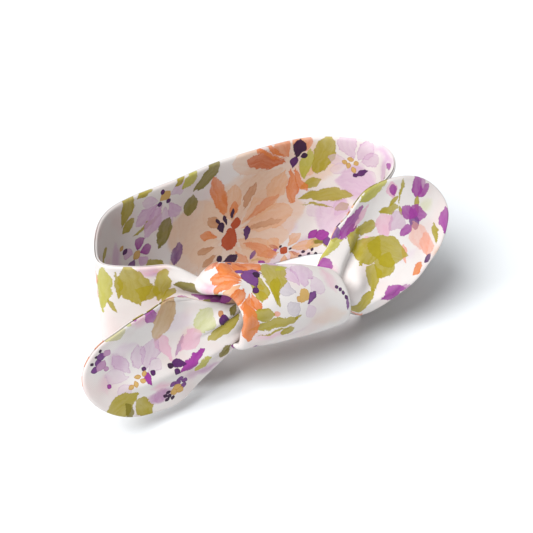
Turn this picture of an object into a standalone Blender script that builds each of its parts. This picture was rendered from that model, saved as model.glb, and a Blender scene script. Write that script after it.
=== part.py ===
"""A knotted headband: a strip of two printed cloth layers, tied once at the front.

The band stands on its long edge as an oval ring. The strip narrows where it enters the
knot, and its two ends leave the knot as leaf-shaped tails. Each tail swings forward about
an upright line across its gathered root.

The shape is worked out in a frame whose X = 0 is the middle of the ring, whose Y = 0 is
the front wall and whose Z = 0 is the table. The empty "headband" then moves it all, so
that the origin lies under the middle of the whole headband.
"""

import math

import bmesh
import bpy
import numpy as np
from mathutils import Vector

# Driving dimensions, in metres and degrees.
RING_LENGTH = 0.162  # left bend to right bend, between the layers
RING_DEPTH = 0.0675  # front wall to back wall, between the layers
BAND_HEIGHT = 0.070

PLY = 0.0006  # one cloth layer
CLEARANCE = 0.0003  # between faces that touch on the real headband
SEAM_THICKNESS = 0.0005  # the two turned-in allowances, pressed flat
SEAM_DEPTH = 0.006  # how far the allowances reach in from the edge

KNOT_LENGTH = 0.0525
KNOT_MIDDLE_X = -0.00775
KNOT_LEFT_HEIGHT = 0.041
KNOT_RIGHT_HEIGHT = 0.027
KNOT_LEFT_DEPTH = 0.034
KNOT_RIGHT_DEPTH = 0.023
KNOT_LEFT_RISE = 0.010  # centre of the knot's left end above the band's mid height
KNOT_RIGHT_RISE = -0.0015
KNOT_LEFT_Y = -0.005
KNOT_RIGHT_Y = -0.013
KNOT_BULGE = 0.12  # how much fuller the knot is half way along
CORE_INSET = 0.002  # from the ends of the wrap to the strand inside it

NECK_HEIGHT = 0.018  # the strip where it enters the knot
NECK_RUN = 0.034  # how far from the knot the strip starts to narrow
LEFT_NECK_RISE = 0.010
RIGHT_NECK_RISE = -0.008
RIGHT_NECK_Y = -0.002

TAIL_WIDTH = 0.055
LEFT_TAIL_LENGTH = 0.079
RIGHT_TAIL_LENGTH = 0.084
LEFT_TAIL_BURIED = 0.0022  # the length of the tail that is inside the knot
RIGHT_TAIL_BURIED = 0.0086
KNOT_CLEARANCE = 0.002  # from the ends of the knot to the strip and the tails
LEFT_TAIL_Y = -0.0075  # where the tail's middle leaves the knot
RIGHT_TAIL_Y = -0.010
LEFT_TAIL_RISE = 0.003  # and its height above the band's mid height
RIGHT_TAIL_RISE = 0.0005
RIGHT_HINGE_Y = -0.0175  # the right tail folds round the knot's front edge

# The oval, seen from above, from the left neck round the back to the right neck: shares of
# half the ring's length, and of its depth from the front wall.
OVAL = (
    (-0.556, 0.007),
    (-0.716, 0.089),
    (-0.895, 0.244),
    (-1.000, 0.393),
    (-0.938, 0.578),
    (-0.753, 0.852),
    (-0.506, 0.956),
    (0.000, 1.000),
    (0.500, 0.963),
    (0.820, 0.844),
    (1.000, 0.533),
    (0.908, 0.230),
    (0.670, 0.070),
    (0.470, 0.005),
)

# Colours, as shares of full red, green and blue.
FACE_COLOUR = (0.77, 0.65, 0.61)
LINING_COLOUR = (0.74, 0.59, 0.52)
ALLOWANCE_COLOUR = (0.80, 0.76, 0.73)
KNOT_COLOUR = (0.74, 0.57, 0.49)
CLOTH_ROUGHNESS = 0.85

# How finely the curved pieces are divided.
BAND_CELLS = (72, 5)
TAIL_CELLS = (15, 12)
TAIL_SEAM_CELLS = (36, 2)
KNOT_CELLS = (28, 8)
CURVE_STEPS = 20
TAIL_STEPS = 200

# Worked out from the driving dimensions.
PLY_GAP = SEAM_THICKNESS + 2 * CLEARANCE
STRIP_THICKNESS = 2 * PLY + PLY_GAP
PLY_OFFSET = (PLY_GAP + PLY) / 2
MID_HEIGHT = BAND_HEIGHT / 2
KNOT_LEFT_X = KNOT_MIDDLE_X - KNOT_LENGTH / 2
KNOT_RIGHT_X = KNOT_MIDDLE_X + KNOT_LENGTH / 2


def smooth(x):
    """0 below 0, 1 above 1, and an even S between."""
    x = min(max(x, 0.0), 1.0)
    return x * x * (3 - 2 * x)


def mix(a, b, t):
    return a + (b - a) * t


def fair_curve(points):
    """A Catmull-Rom curve through the points, as many short steps."""
    points = np.array(points)
    ends = [2 * points[0] - points[1]], [2 * points[-1] - points[-2]]
    knots = np.concatenate([ends[0], points, ends[1]])
    curve = []
    for a, b, c, d in zip(knots, knots[1:], knots[2:], knots[3:]):
        for step in range(CURVE_STEPS):
            t = step / CURVE_STEPS
            bend = (2 * a - 5 * b + 4 * c - d) * t**2 + (3 * b - a - 3 * c + d) * t**3
            curve.append((2 * b + (c - a) * t + bend) / 2)
    curve.append(points[-1])
    return np.array(curve)


class Line:
    """A flat curve that can be read at any share of its length."""

    def __init__(self, points):
        self.points = points
        steps = np.hypot(*np.diff(points, axis=0).T)
        self.distance = np.concatenate([[0.0], np.cumsum(steps)])
        self.length = self.distance[-1]

    def at(self, share):
        place = share * self.length
        return np.array([np.interp(place, self.distance, row) for row in self.points.T])

    def left_of(self, share):
        """The unit vector to the left of the way the curve runs."""
        step = 1 / len(self.points)
        ahead = self.at(min(share + step, 1.0)) - self.at(max(share - step, 0.0))
        return np.array([-ahead[1], ahead[0]]) / np.hypot(*ahead)


# ---------------------------------------------------------------- the band


def band_line():
    half = RING_LENGTH / 2
    oval = [(x * half, y * RING_DEPTH) for x, y in OVAL]
    left_end = (KNOT_LEFT_X - KNOT_CLEARANCE, 0.0)
    right_end = (KNOT_RIGHT_X + KNOT_CLEARANCE, RIGHT_NECK_Y)
    return Line(fair_curve([left_end, *oval, right_end]))


def band_edges(line, share):
    """The heights of the strip's lower and upper edges."""
    from_left = smooth(share * line.length / NECK_RUN)
    from_right = smooth((1 - share) * line.length / NECK_RUN)
    half = mix(NECK_HEIGHT, BAND_HEIGHT, from_left * from_right) / 2
    rise = LEFT_NECK_RISE * (1 - from_left) + RIGHT_NECK_RISE * (1 - from_right)
    middle = MID_HEIGHT + rise
    return middle - half, middle + half


def band_point(line, share, height_share, offset):
    x, y = line.at(share) + line.left_of(share) * offset
    low, high = band_edges(line, share)
    return x, y, mix(low, high, height_share)


def seam_point(line, share, depth_share, upper):
    """A point on the pressed allowance inside the strip's upper or lower edge."""
    x, y = line.at(share)
    inset = CLEARANCE + SEAM_DEPTH * depth_share
    low, high = band_edges(line, share)
    return x, y, high - inset if upper else low + inset


# ---------------------------------------------------------------- the knot


def knot_point(turn_share, along, inset):
    """A point round the knot, inset from its outer surface. Its ends are upright."""
    turn = 2 * math.pi * turn_share
    fuller = 1 + KNOT_BULGE * math.sin(math.pi * along)
    high = mix(KNOT_LEFT_HEIGHT, KNOT_RIGHT_HEIGHT, along) / 2 * fuller - inset
    deep = mix(KNOT_LEFT_DEPTH, KNOT_RIGHT_DEPTH, along) / 2 * fuller - inset
    y = mix(KNOT_LEFT_Y, KNOT_RIGHT_Y, along) + deep * math.cos(turn)
    rise = mix(KNOT_LEFT_RISE, KNOT_RIGHT_RISE, along)
    z = MID_HEIGHT + rise + high * math.sin(turn)
    return mix(KNOT_LEFT_X, KNOT_RIGHT_X, along), y, z


# ---------------------------------------------------------------- the tails


class Tail:
    """The middle surface of one tail, from its root inside the knot to its tip.

    yaw, pitch, lean and cup are (root, tip) pairs: the way the tail runs and how it climbs,
    in degrees, how far its upper edge stands behind its middle, and how far its edges curl
    forward.
    """

    def __init__(self, root, yaw, pitch, lean, cup, length, shoulder, root_share, buried):
        self.length = length
        self.shoulder = shoulder * length
        self.root_half = root_share * TAIL_WIDTH / 2
        self.cup = cup
        share = np.linspace(0, 1, TAIL_STEPS)
        yaw, pitch = (np.radians(mix(*pair, share)) for pair in (yaw, pitch))
        ahead = [np.cos(pitch) * np.cos(yaw), np.cos(pitch) * np.sin(yaw), np.sin(pitch)]
        ahead = np.stack(ahead, 1)
        step = length / (TAIL_STEPS - 1)
        self.middle = np.array(root) + np.concatenate(
            [[(0, 0, 0)], np.cumsum(ahead[:-1] * step, axis=0)]
        )
        up = np.array([0.0, 0.0, 1.0]) - ahead * ahead[:, 2:]
        up /= np.linalg.norm(up, axis=1)[:, None]
        front = np.cross(up, ahead)
        front *= -np.sign(front[:, 1:2])
        sine = mix(*lean, share)[:, None] / (TAIL_WIDTH / 2)
        cosine = np.sqrt(1 - sine**2)
        self.side = up * cosine - front * sine
        self.front = front * cosine + up * sine
        self.share = share
        self.ahead = ahead[0]
        self.slant = -self.side[0][0] / ahead[0][0]
        self.start = buried + KNOT_CLEARANCE

    def read(self, rows, along):
        place = along / self.length
        return np.array([np.interp(place, self.share, row) for row in rows.T])

    def half_width(self, along):
        widening = smooth(along / self.shoulder)
        return mix(self.root_half, TAIL_WIDTH / 2, widening)

    def surface(self, along, across):
        """A point so far along the tail and so far across it."""
        curl = mix(*self.cup, along / self.length) * (2 * across / TAIL_WIDTH) ** 2
        point = self.read(self.middle, along) + self.ahead * min(along, 0.0)
        return point + self.read(self.side, along) * across + self.read(self.front, along) * curl

    def point(self, along, across, offset):
        """The same point, moved off the surface towards its front."""
        step = PLY
        run = self.surface(along + step, across) - self.surface(along - step, across)
        rise = self.surface(along, across + step) - self.surface(along, across - step)
        normal = np.cross(run, rise)
        normal *= -np.sign(normal[1]) / np.linalg.norm(normal)
        return self.surface(along, across) + normal * offset

    def flat_place(self, along_share, across_share):
        """Shares of the leaf outline as distances along and across: the tip is round."""
        reach = self.shoulder + (self.length - self.shoulder) * math.sqrt(
            max(0.0, 1 - across_share**2)
        )
        along = mix(self.start, reach, along_share)
        across = across_share * self.half_width(along)
        return along + self.slant * across * (1 - along_share), across

    def layer_point(self, along_share, turn_share, offset):
        across_share = math.sin(math.pi * (turn_share - 0.5))
        return self.point(*self.flat_place(along_share, across_share), offset)

    def outline(self):
        """The leaf's edge, from the lower side of the root round the tip to the upper."""
        steps = np.linspace(0, 1, TAIL_SEAM_CELLS[0])
        lower = [self.flat_place(step, -1.0) for step in steps[1:]]
        tip = [self.flat_place(1.0, math.sin(math.pi * (step - 0.5))) for step in steps]
        upper = [self.flat_place(step, 1.0) for step in steps[:0:-1]]
        return Line(np.array(lower + tip[1:-1] + upper))

    def seam_point(self, outline, share, depth_share):
        inset = 2 * CLEARANCE + SEAM_DEPTH * depth_share
        along, across = outline.at(share) + outline.left_of(share) * inset
        return self.point(along, across, 0.0)


def left_tail():
    root = (KNOT_LEFT_X + LEFT_TAIL_BURIED, LEFT_TAIL_Y, MID_HEIGHT + LEFT_TAIL_RISE)
    turns = {"yaw": (172, 180), "pitch": (-13, 17)}
    bends = {"lean": (0.0029, 0.0019), "cup": (-0.004, 0.010)}
    shape = {"length": LEFT_TAIL_LENGTH, "shoulder": 0.47, "root_share": 0.40}
    return Tail(root, buried=LEFT_TAIL_BURIED, **turns, **bends, **shape)


def right_tail():
    root = (KNOT_RIGHT_X - RIGHT_TAIL_BURIED, RIGHT_TAIL_Y, MID_HEIGHT + RIGHT_TAIL_RISE)
    turns = {"yaw": (4, 2), "pitch": (26, 3)}
    bends = {"lean": (0.0048, 0.0177), "cup": (0.004, 0.007)}
    shape = {"length": RIGHT_TAIL_LENGTH, "shoulder": 0.30, "root_share": 0.57}
    return Tail(root, buried=RIGHT_TAIL_BURIED, **turns, **bends, **shape)


# ---------------------------------------------------------------- objects


def clear_scene():
    for item in list(bpy.data.objects):
        bpy.data.objects.remove(item, do_unlink=True)


def make_collection(name):
    collection = bpy.data.collections.new(name)
    bpy.context.scene.collection.children.link(collection)
    return collection


def make_empty(name, collection, parent, place):
    """An empty at a place given in the shape's own frame."""
    empty = bpy.data.objects.new(name, None)
    empty.empty_display_size = 0.01
    collection.objects.link(empty)
    empty.parent = parent
    empty.location = place
    return empty


def make_material(name, colour):
    material = bpy.data.materials.new(name)
    material.use_nodes = True
    surface = material.node_tree.nodes["Principled BSDF"]
    surface.inputs["Base Color"].default_value = (*colour, 1.0)
    surface.inputs["Roughness"].default_value = CLOTH_ROUGHNESS
    surface.inputs["Metallic"].default_value = 0.0
    return material


def make_object(name, shape, parent, collection, colour):
    """Turns a bmesh into an object that moves with its parent."""
    mesh = bpy.data.meshes.new(name)
    shape.to_mesh(mesh)
    shape.free()
    mesh.shade_smooth()
    mesh.materials.append(make_material(name, colour))
    item = bpy.data.objects.new(name, mesh)
    collection.objects.link(item)
    item.parent = parent
    return item


def mapped_grid(cells, place):
    """A flat grid whose corners (0..1, 0..1) are each moved to place(u, v)."""
    grid = bmesh.new()
    bmesh.ops.create_grid(grid, x_segments=cells[0], y_segments=cells[1], size=0.5)
    for vert in grid.verts:
        vert.co = Vector(place(vert.co.x + 0.5, vert.co.y + 0.5))
    return grid


def thicken(item, thickness):
    shell = item.modifiers.new("cloth thickness", "SOLIDIFY")
    shell.thickness = thickness
    shell.offset = 0.0


def shifted(place, pivot):
    """The same mapping, seen from a pivot."""
    return lambda u, v: Vector(place(u, v)) - Vector(pivot)


def make_sheet(name, cells, place, thickness, pivot, parent, collection, colour):
    grid = mapped_grid(cells, shifted(place, pivot))
    item = make_object(name, grid, parent, collection, colour)
    thicken(item, thickness)
    return item


def make_band(parent, collection):
    line = band_line()
    still = (0, 0, 0)
    layers = (
        ("band_outer_layer", PLY_OFFSET, FACE_COLOUR),
        ("band_inner_layer", -PLY_OFFSET, LINING_COLOUR),
    )
    for name, offset, colour in layers:
        make_sheet(
            name,
            BAND_CELLS,
            lambda u, v, offset=offset: band_point(line, u, v, offset),
            PLY,
            still,
            parent,
            collection,
            colour,
        )
    for name, upper in (("band_top_seam", True), ("band_bottom_seam", False)):
        make_sheet(
            name,
            (BAND_CELLS[0], 1),
            lambda u, v, upper=upper: seam_point(line, u, v, upper),
            SEAM_THICKNESS,
            still,
            parent,
            collection,
            ALLOWANCE_COLOUR,
        )


def make_knot(parent, collection):
    """The strand that wraps the knot is a sleeve, and the strand inside it a solid roll."""
    weld = 1e-6
    wrap = mapped_grid(KNOT_CELLS, lambda u, v: knot_point(u, v, STRIP_THICKNESS / 2))
    bmesh.ops.remove_doubles(wrap, verts=wrap.verts, dist=weld)
    item = make_object("knot_wrap", wrap, parent, collection, KNOT_COLOUR)
    thicken(item, STRIP_THICKNESS)

    inset = STRIP_THICKNESS + CLEARANCE + KNOT_BULGE * CORE_INSET
    end = CORE_INSET / KNOT_LENGTH
    core = mapped_grid(KNOT_CELLS, lambda u, v: knot_point(u, mix(end, 1 - end, v), inset))
    bmesh.ops.remove_doubles(core, verts=core.verts, dist=weld)
    open_edges = [edge for edge in core.edges if edge.is_boundary]
    bmesh.ops.holes_fill(core, edges=open_edges, sides=0)
    bmesh.ops.recalc_face_normals(core, faces=core.faces)
    make_object("knot_core", core, parent, collection, KNOT_COLOUR)


def make_tail(side, tail, pivot, parent, collection):
    layers = (("front", PLY_OFFSET, FACE_COLOUR), ("back", -PLY_OFFSET, LINING_COLOUR))
    for face, offset, colour in layers:
        make_sheet(
            f"{side}_tail_{face}_layer",
            TAIL_CELLS,
            lambda u, v, offset=offset: tail.layer_point(u, v, offset),
            PLY,
            pivot,
            parent,
            collection,
            colour,
        )
    outline = tail.outline()
    make_sheet(
        f"{side}_tail_seam",
        TAIL_SEAM_CELLS,
        lambda u, v: tail.seam_point(outline, u, v),
        SEAM_THICKNESS,
        pivot,
        parent,
        collection,
        ALLOWANCE_COLOUR,
    )


def centre_over_origin(root, collection):
    """Moves the root so that the origin lies under the middle of the whole headband."""
    bpy.context.view_layer.update()
    graph = bpy.context.evaluated_depsgraph_get()
    corners = []
    for item in collection.objects:
        if item.type == "MESH":
            shape = item.evaluated_get(graph)
            corners += [shape.matrix_world @ Vector(corner) for corner in shape.bound_box]
    low = np.min(corners, axis=0)
    high = np.max(corners, axis=0)
    root.location = (-(low[0] + high[0]) / 2, -(low[1] + high[1]) / 2, -low[2])


def main():
    clear_scene()
    collection = make_collection("knotted_headband")
    root = make_empty("headband", collection, None, (0, 0, 0))
    make_band(root, collection)
    make_knot(root, collection)
    left_pivot = (KNOT_LEFT_X - KNOT_CLEARANCE, LEFT_TAIL_Y, MID_HEIGHT)
    right_pivot = (KNOT_RIGHT_X + KNOT_CLEARANCE, RIGHT_HINGE_Y, MID_HEIGHT)
    tails = (("left", left_tail(), left_pivot), ("right", right_tail(), right_pivot))
    for side, tail, pivot in tails:
        hinge = make_empty(f"{side}_tail_hinge", collection, root, pivot)
        make_tail(side, tail, pivot, hinge, collection)
    centre_over_origin(root, collection)


main()
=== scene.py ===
# %% [markdown]
# # A knotted headband in printed cotton
# The headband is one strip of two cloth layers, sewn along its edges and turned right side
# out, then tied once at the front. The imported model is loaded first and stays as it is.
# Every soft solid in it is replaced here by cloth that has turned edges, folds and a print.

# %% Frame and sizes
import math
import bmesh
import bpy
import numpy as np
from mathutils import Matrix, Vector


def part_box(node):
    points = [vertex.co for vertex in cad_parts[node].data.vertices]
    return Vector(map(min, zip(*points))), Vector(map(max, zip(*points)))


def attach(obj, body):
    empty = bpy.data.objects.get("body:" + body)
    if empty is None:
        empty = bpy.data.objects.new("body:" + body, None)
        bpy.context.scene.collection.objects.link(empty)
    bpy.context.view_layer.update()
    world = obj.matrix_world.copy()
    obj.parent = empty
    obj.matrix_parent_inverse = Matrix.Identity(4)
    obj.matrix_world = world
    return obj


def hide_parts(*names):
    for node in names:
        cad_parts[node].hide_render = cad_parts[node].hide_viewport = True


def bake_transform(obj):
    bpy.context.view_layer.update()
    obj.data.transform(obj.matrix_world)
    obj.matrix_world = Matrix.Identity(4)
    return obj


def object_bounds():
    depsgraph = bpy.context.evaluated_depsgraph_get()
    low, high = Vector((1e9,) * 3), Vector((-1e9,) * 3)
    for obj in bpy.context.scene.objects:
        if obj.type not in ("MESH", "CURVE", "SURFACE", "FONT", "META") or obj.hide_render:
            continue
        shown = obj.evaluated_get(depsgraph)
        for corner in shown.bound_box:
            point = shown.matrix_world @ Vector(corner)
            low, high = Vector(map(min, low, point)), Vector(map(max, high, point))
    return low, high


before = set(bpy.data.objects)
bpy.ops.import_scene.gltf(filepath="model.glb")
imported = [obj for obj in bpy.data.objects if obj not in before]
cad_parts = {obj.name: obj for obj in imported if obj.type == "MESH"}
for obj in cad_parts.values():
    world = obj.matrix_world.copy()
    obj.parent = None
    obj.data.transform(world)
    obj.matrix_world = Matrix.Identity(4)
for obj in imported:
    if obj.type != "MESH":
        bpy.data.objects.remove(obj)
cad_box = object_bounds()
MM = 0.001
outer_low, outer_high = (np.array(corner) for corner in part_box("band_outer_layer"))
print("CAD box in mm:", [[round(value * 1000, 1) for value in corner] for corner in cad_box])

# %% [markdown]
# The ring is an oval seen from above. A maker would draw it as a smooth line through a few
# points, so it is written as shares of half the ring's length and of its depth. Working in
# millimetres keeps the numbers readable, and the last step turns them into metres.

# %% The line that the strip follows
RING_LENGTH, RING_DEPTH, BAND_HEIGHT = 162.0, 67.5, 70.0
KNOT_LEFT, KNOT_RIGHT = -34.0, 18.5  # the ends of the knot, from the ring's middle
KNOT_LENGTH = KNOT_RIGHT - KNOT_LEFT
OVAL = (
    (-0.556, 0.007), (-0.716, 0.089), (-0.895, 0.244), (-1.000, 0.393), (-0.938, 0.578),
    (-0.753, 0.852), (-0.506, 0.956), (0.000, 1.000), (0.500, 0.963), (0.820, 0.844),
    (1.000, 0.533), (0.908, 0.230), (0.670, 0.070), (0.470, 0.005),
)


def smooth(x):
    """0 below 0, 1 above 1, and an even S between."""
    x = np.clip(x, 0.0, 1.0)
    return x * x * (3 - 2 * x)


def mix(a, b, t):
    """a where t is 0, b where t is 1."""
    return a + (b - a) * t


def hump(*offsets):
    """1 in the middle and 0 far from it. Each offset is measured in widths of the hump."""
    return np.exp(-sum(offset**2 for offset in offsets))


def near_end(distance, reach):
    """1 at an end, falling to 0 at the given reach from it."""
    return 1 - smooth(distance / reach)


def fair_curve(points, steps=24):
    """A Catmull-Rom curve through the points, as many short steps."""
    points = np.array(points, float)
    knots = np.concatenate([[2 * points[0] - points[1]], points, [2 * points[-1] - points[-2]]])
    t = np.arange(steps)[:, None] / steps
    curve = []
    for a, b, c, d in zip(knots, knots[1:], knots[2:], knots[3:]):
        bend = (2 * a - 5 * b + 4 * c - d) * t**2 + (3 * b - a - 3 * c + d) * t**3
        curve.append((2 * b + (c - a) * t + bend) / 2)
    return np.concatenate(curve + [points[-1:]])


ring = [(x * RING_LENGTH / 2, y * RING_DEPTH) for x, y in OVAL]
strip_line = fair_curve([(KNOT_LEFT - 2, 0.0), *ring, (KNOT_RIGHT + 2, -2.0)])
steps = np.hypot(*np.diff(strip_line, axis=0).T)
strip_distance = np.concatenate([[0.0], np.cumsum(steps)])
STRIP_LENGTH = strip_distance[-1]
line_ahead = np.gradient(strip_line, axis=0)
line_ahead /= np.linalg.norm(line_ahead, axis=1)[:, None]

# The maker's frame has its origin at the ring's middle, in line with the front wall.
line_low, line_high = strip_line.min(0), strip_line.max(0)
ring_middle = (outer_low[:2] + outer_high[:2]) / 2 / MM
shift = np.array([*(ring_middle - (line_low + line_high) / 2), 0.0])
print(f"the strip runs {STRIP_LENGTH:.0f} mm from neck to neck, moved by {shift.round(1)} mm")

# %% [markdown]
# Each cloth piece starts as a flat grid, like the cut cloth. Its UV map keeps the place of
# every point on that flat cloth, in metres, so the print and the weave follow the cloth
# through every fold. Then each point goes to its place on the object. A Solidify modifier
# gives the cloth its thickness, and the result is made final before the cloth is joined to
# the bodies.

# %% Helpers for cloth
CLOTH = 0.5  # the thickness of one layer, in millimetres
PLY_OFFSET = 0.85  # from the middle of the strip to the middle of a layer
SAME_PLACE = 1e-6  # points nearer than this, in metres, are one point
SHARP_CORNER = math.radians(50)  # a steeper corner than this keeps its edge in the shading
pieces = {}


def cloth_sheet(name, us, vs, flat_of, place_of, tube=False):
    """A grid at the values us and vs, with its flat place as UV, moved to its place.

    A tube's first and last row meet, so they are merged.
    """
    grid = bmesh.new()
    bmesh.ops.create_grid(grid, x_segments=len(us) - 1, y_segments=len(vs) - 1, size=0.5)
    shares = np.array([vert.co[:2] for vert in grid.verts]) + 0.5
    u = np.interp(shares[:, 0], np.linspace(0, 1, len(us)), us)
    v = np.interp(shares[:, 1], np.linspace(0, 1, len(vs)), vs)
    flat = flat_of(u, v) * MM
    place = (place_of(u, v) + shift) * MM
    cloth_map = grid.loops.layers.uv.new("cloth")
    for face in grid.faces:
        for loop in face.loops:
            loop[cloth_map].uv = flat[loop.vert.index]
    for vert, spot in zip(grid.verts, place):
        vert.co = Vector(spot)
    if tube:
        bmesh.ops.remove_doubles(grid, verts=grid.verts, dist=SAME_PLACE)
        bmesh.ops.recalc_face_normals(grid, faces=grid.faces)
    mesh = bpy.data.meshes.new(name)
    grid.to_mesh(mesh)
    grid.free()
    mesh.shade_smooth()
    piece = bpy.data.objects.new(name, mesh)
    bpy.context.scene.collection.objects.link(piece)
    pieces[name] = piece
    return piece


def off_surface(surface, u, v, offset, step=0.4):
    """The points of a surface, moved off it along its own direction of facing."""
    run = surface(u + step, v) - surface(u - step, v)
    rise = surface(u, v + step) - surface(u, v - step)
    facing = np.cross(run, rise)
    facing /= np.maximum(np.linalg.norm(facing, axis=1)[:, None], 1e-9)
    return surface(u, v) + facing * np.asarray(offset)[..., None]


def make_final(piece, thickness=CLOTH):
    """Gives the sheet its thickness and keeps the result as its mesh."""
    shell = piece.modifiers.new("cloth thickness", "SOLIDIFY")
    shell.thickness = thickness * MM
    shell.offset = 0.0
    bpy.context.view_layer.update()
    graph = bpy.context.evaluated_depsgraph_get()
    mesh = bpy.data.meshes.new_from_object(piece.evaluated_get(graph), depsgraph=graph)
    piece.modifiers.clear()
    piece.data = mesh
    mesh.shade_smooth()
    mesh.set_sharp_from_angle(angle=SHARP_CORNER)
    triangles = sum(len(face.vertices) - 2 for face in mesh.polygons)
    print(f"{piece.name}: {triangles} triangles")


print("a layer is", CLOTH, "mm thick and lies", PLY_OFFSET, "mm from the middle surface")

# %% [markdown]
# The strip keeps its full height round the ring and gathers where it enters the knot. The
# gathers are soft pleats that run into the knot and die out along the wall. Cut cloth never
# hangs quite flat, so a few long, shallow waves are added to the walls.

# %% The middle surface of the strip
PLEATS = 3.5  # over the height of the strip
PLEAT_DEPTH = 2.6
PLEAT_REACH = 40  # how far a pleat runs along the wall from the knot


def strip_edges(q):
    """The heights of the lower and upper edge, at a distance along the strip."""
    far = STRIP_LENGTH - q
    top = BAND_HEIGHT - 13 * near_end(q, 27) - 34 * near_end(far, 36)
    bottom = 0.3 + 32.7 * near_end(q, 38) + 18 * near_end(far, 32)
    top = top + 0.35 * np.sin(q / 13.0 + 1.0) * smooth(q / 40) * smooth(far / 40)
    return bottom, top


def strip_surface(q, s):
    """A point of the strip: q along it, s across it from its lower edge, in millimetres."""
    inside = np.clip(q, 0.0, STRIP_LENGTH)
    x = np.interp(inside, strip_distance, strip_line[:, 0])
    y = np.interp(inside, strip_distance, strip_line[:, 1])
    ahead_x = np.interp(inside, strip_distance, line_ahead[:, 0])
    ahead_y = np.interp(inside, strip_distance, line_ahead[:, 1])
    length = np.hypot(ahead_x, ahead_y)
    ahead_x, ahead_y = ahead_x / length, ahead_y / length
    x = x + ahead_x * (q - inside)
    y = y + ahead_y * (q - inside)
    bottom, top = strip_edges(inside)
    z = mix(bottom, top, s / BAND_HEIGHT)
    gather = np.maximum(near_end(q, PLEAT_REACH), near_end(STRIP_LENGTH - q, PLEAT_REACH))
    pleat = gather**1.3 * PLEAT_DEPTH * np.sin(2 * math.pi * PLEATS * s / BAND_HEIGHT + 0.9)
    free = smooth(s / 25)
    wave = 0.55 * np.sin(q / 17.0 + s / 31.0) + 0.35 * np.sin(q / 7.3 - s / 19.0 + 2.0)
    below_top = BAND_HEIGHT - s
    dip = -2.2 * hump((q - 24) / 11, (s - 62) / 20)
    flare = 2.4 * hump((q - 262) / 20) * hump(below_top / 2.6)
    bulge = pleat + wave * (0.35 + 0.65 * free) + dip + flare
    bulge = bulge + 0.5 * np.exp(-(below_top / 2.0))
    x = x - ahead_y * bulge
    y = y + ahead_x * bulge
    return np.stack([x, y, z], 1)


neck_heights = [round(float(top - bottom)) for bottom, top in map(strip_edges, (0.0, STRIP_LENGTH))]
print("the strip is", BAND_HEIGHT, "mm high and gathers to", neck_heights, "mm at the knot")

# %% [markdown]
# A turned edge has no raw hem: both layers roll round to a seam line that sits on the very
# edge. Near the edge each layer therefore follows a rounded quarter turn inwards, and the
# two layers meet with a fine groove between them.

# %% The two layers of the band
ROLL = 1.3  # how far from the edge the roll starts
EDGE_OFFSET = 0.2  # how far a layer still is from the middle surface on the edge itself


def rolled(edge_distance):
    """The distance of a layer from the middle surface, near a turned edge."""
    t = np.clip(1 - edge_distance / ROLL, 0.0, 1.0)
    return EDGE_OFFSET + (PLY_OFFSET - EDGE_OFFSET) * np.sqrt(1 - t * t)


def edge_rows(length, spacing):
    """Rows across the cloth, closer together where the edges roll."""
    near = np.array([0.0, 0.06, 0.2, 0.42, 0.72, 1.05, 1.5, 2.2])
    middle = np.linspace(3.0, length - 3.0, int(round((length - 6) / spacing)))
    return np.concatenate([near, middle, length - near[::-1]])


def strip_layer(name, side):
    """side is -1 for the outer layer and 1 for the inner one."""
    along = np.linspace(-7.0, STRIP_LENGTH + 7.0, 340)
    across = edge_rows(BAND_HEIGHT, 1.0)

    def place(q, s):
        edge = np.minimum(s, BAND_HEIGHT - s)
        return off_surface(strip_surface, q, s, side * rolled(edge))

    return cloth_sheet(name, along, across, lambda q, s: np.stack([q, s], 1), place)


band_outer = strip_layer("band_outer_cloth", -1)
band_inner = strip_layer("band_inner_cloth", 1)
print("band layers made:", len(band_outer.data.polygons), "faces each")

# %% [markdown]
# Inside the edge lie the two raw allowances, pressed to one side. They are plain strips
# between the layers, and they can be seen only where a seam gapes.

# %% The band's seam allowances
SEAM_DEPTH = 6.0
SEAM_CLOTH = 0.4  # pressed allowances are thinner than the layers
SEAM_INSET = 1.2  # from the edge of the strip to the edge of the allowance


def strip_allowance(name, upper):
    """A plain strip inside the upper or the lower edge of the band."""

    def place(q, depth):
        s = BAND_HEIGHT - SEAM_INSET - depth if upper else SEAM_INSET + depth
        return strip_surface(q, s)

    along = np.linspace(0.0, STRIP_LENGTH, 260)
    across = np.linspace(0.0, SEAM_DEPTH, 6)
    return cloth_sheet(name, along, across, lambda q, s: np.stack([q, s], 1), place)


top_allowance = strip_allowance("band_top_allowance", True)
bottom_allowance = strip_allowance("band_bottom_allowance", False)
print("seam allowances are", SEAM_DEPTH, "mm deep")

# %% [markdown]
# Each tail is a leaf: narrow where the knot grips it, round at its tip. Its middle line is
# walked out step by step while it turns and climbs, and the leaf leans and curls about that
# line. The gathers at the root and the creases on the leaf are added along the direction
# the cloth faces.

# %% A tail's leaf
TAIL_WIDTH = 55.0
WALK_STEPS = 200  # along the middle line
OUTLINE_STEPS = 160  # along each side of the sewn edge
ROOT_INSIDE = 9.0  # how far the cloth runs on inside the knot
GRIPPED_HALF = 8.5  # half the height of a root in the knot's grip


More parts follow.
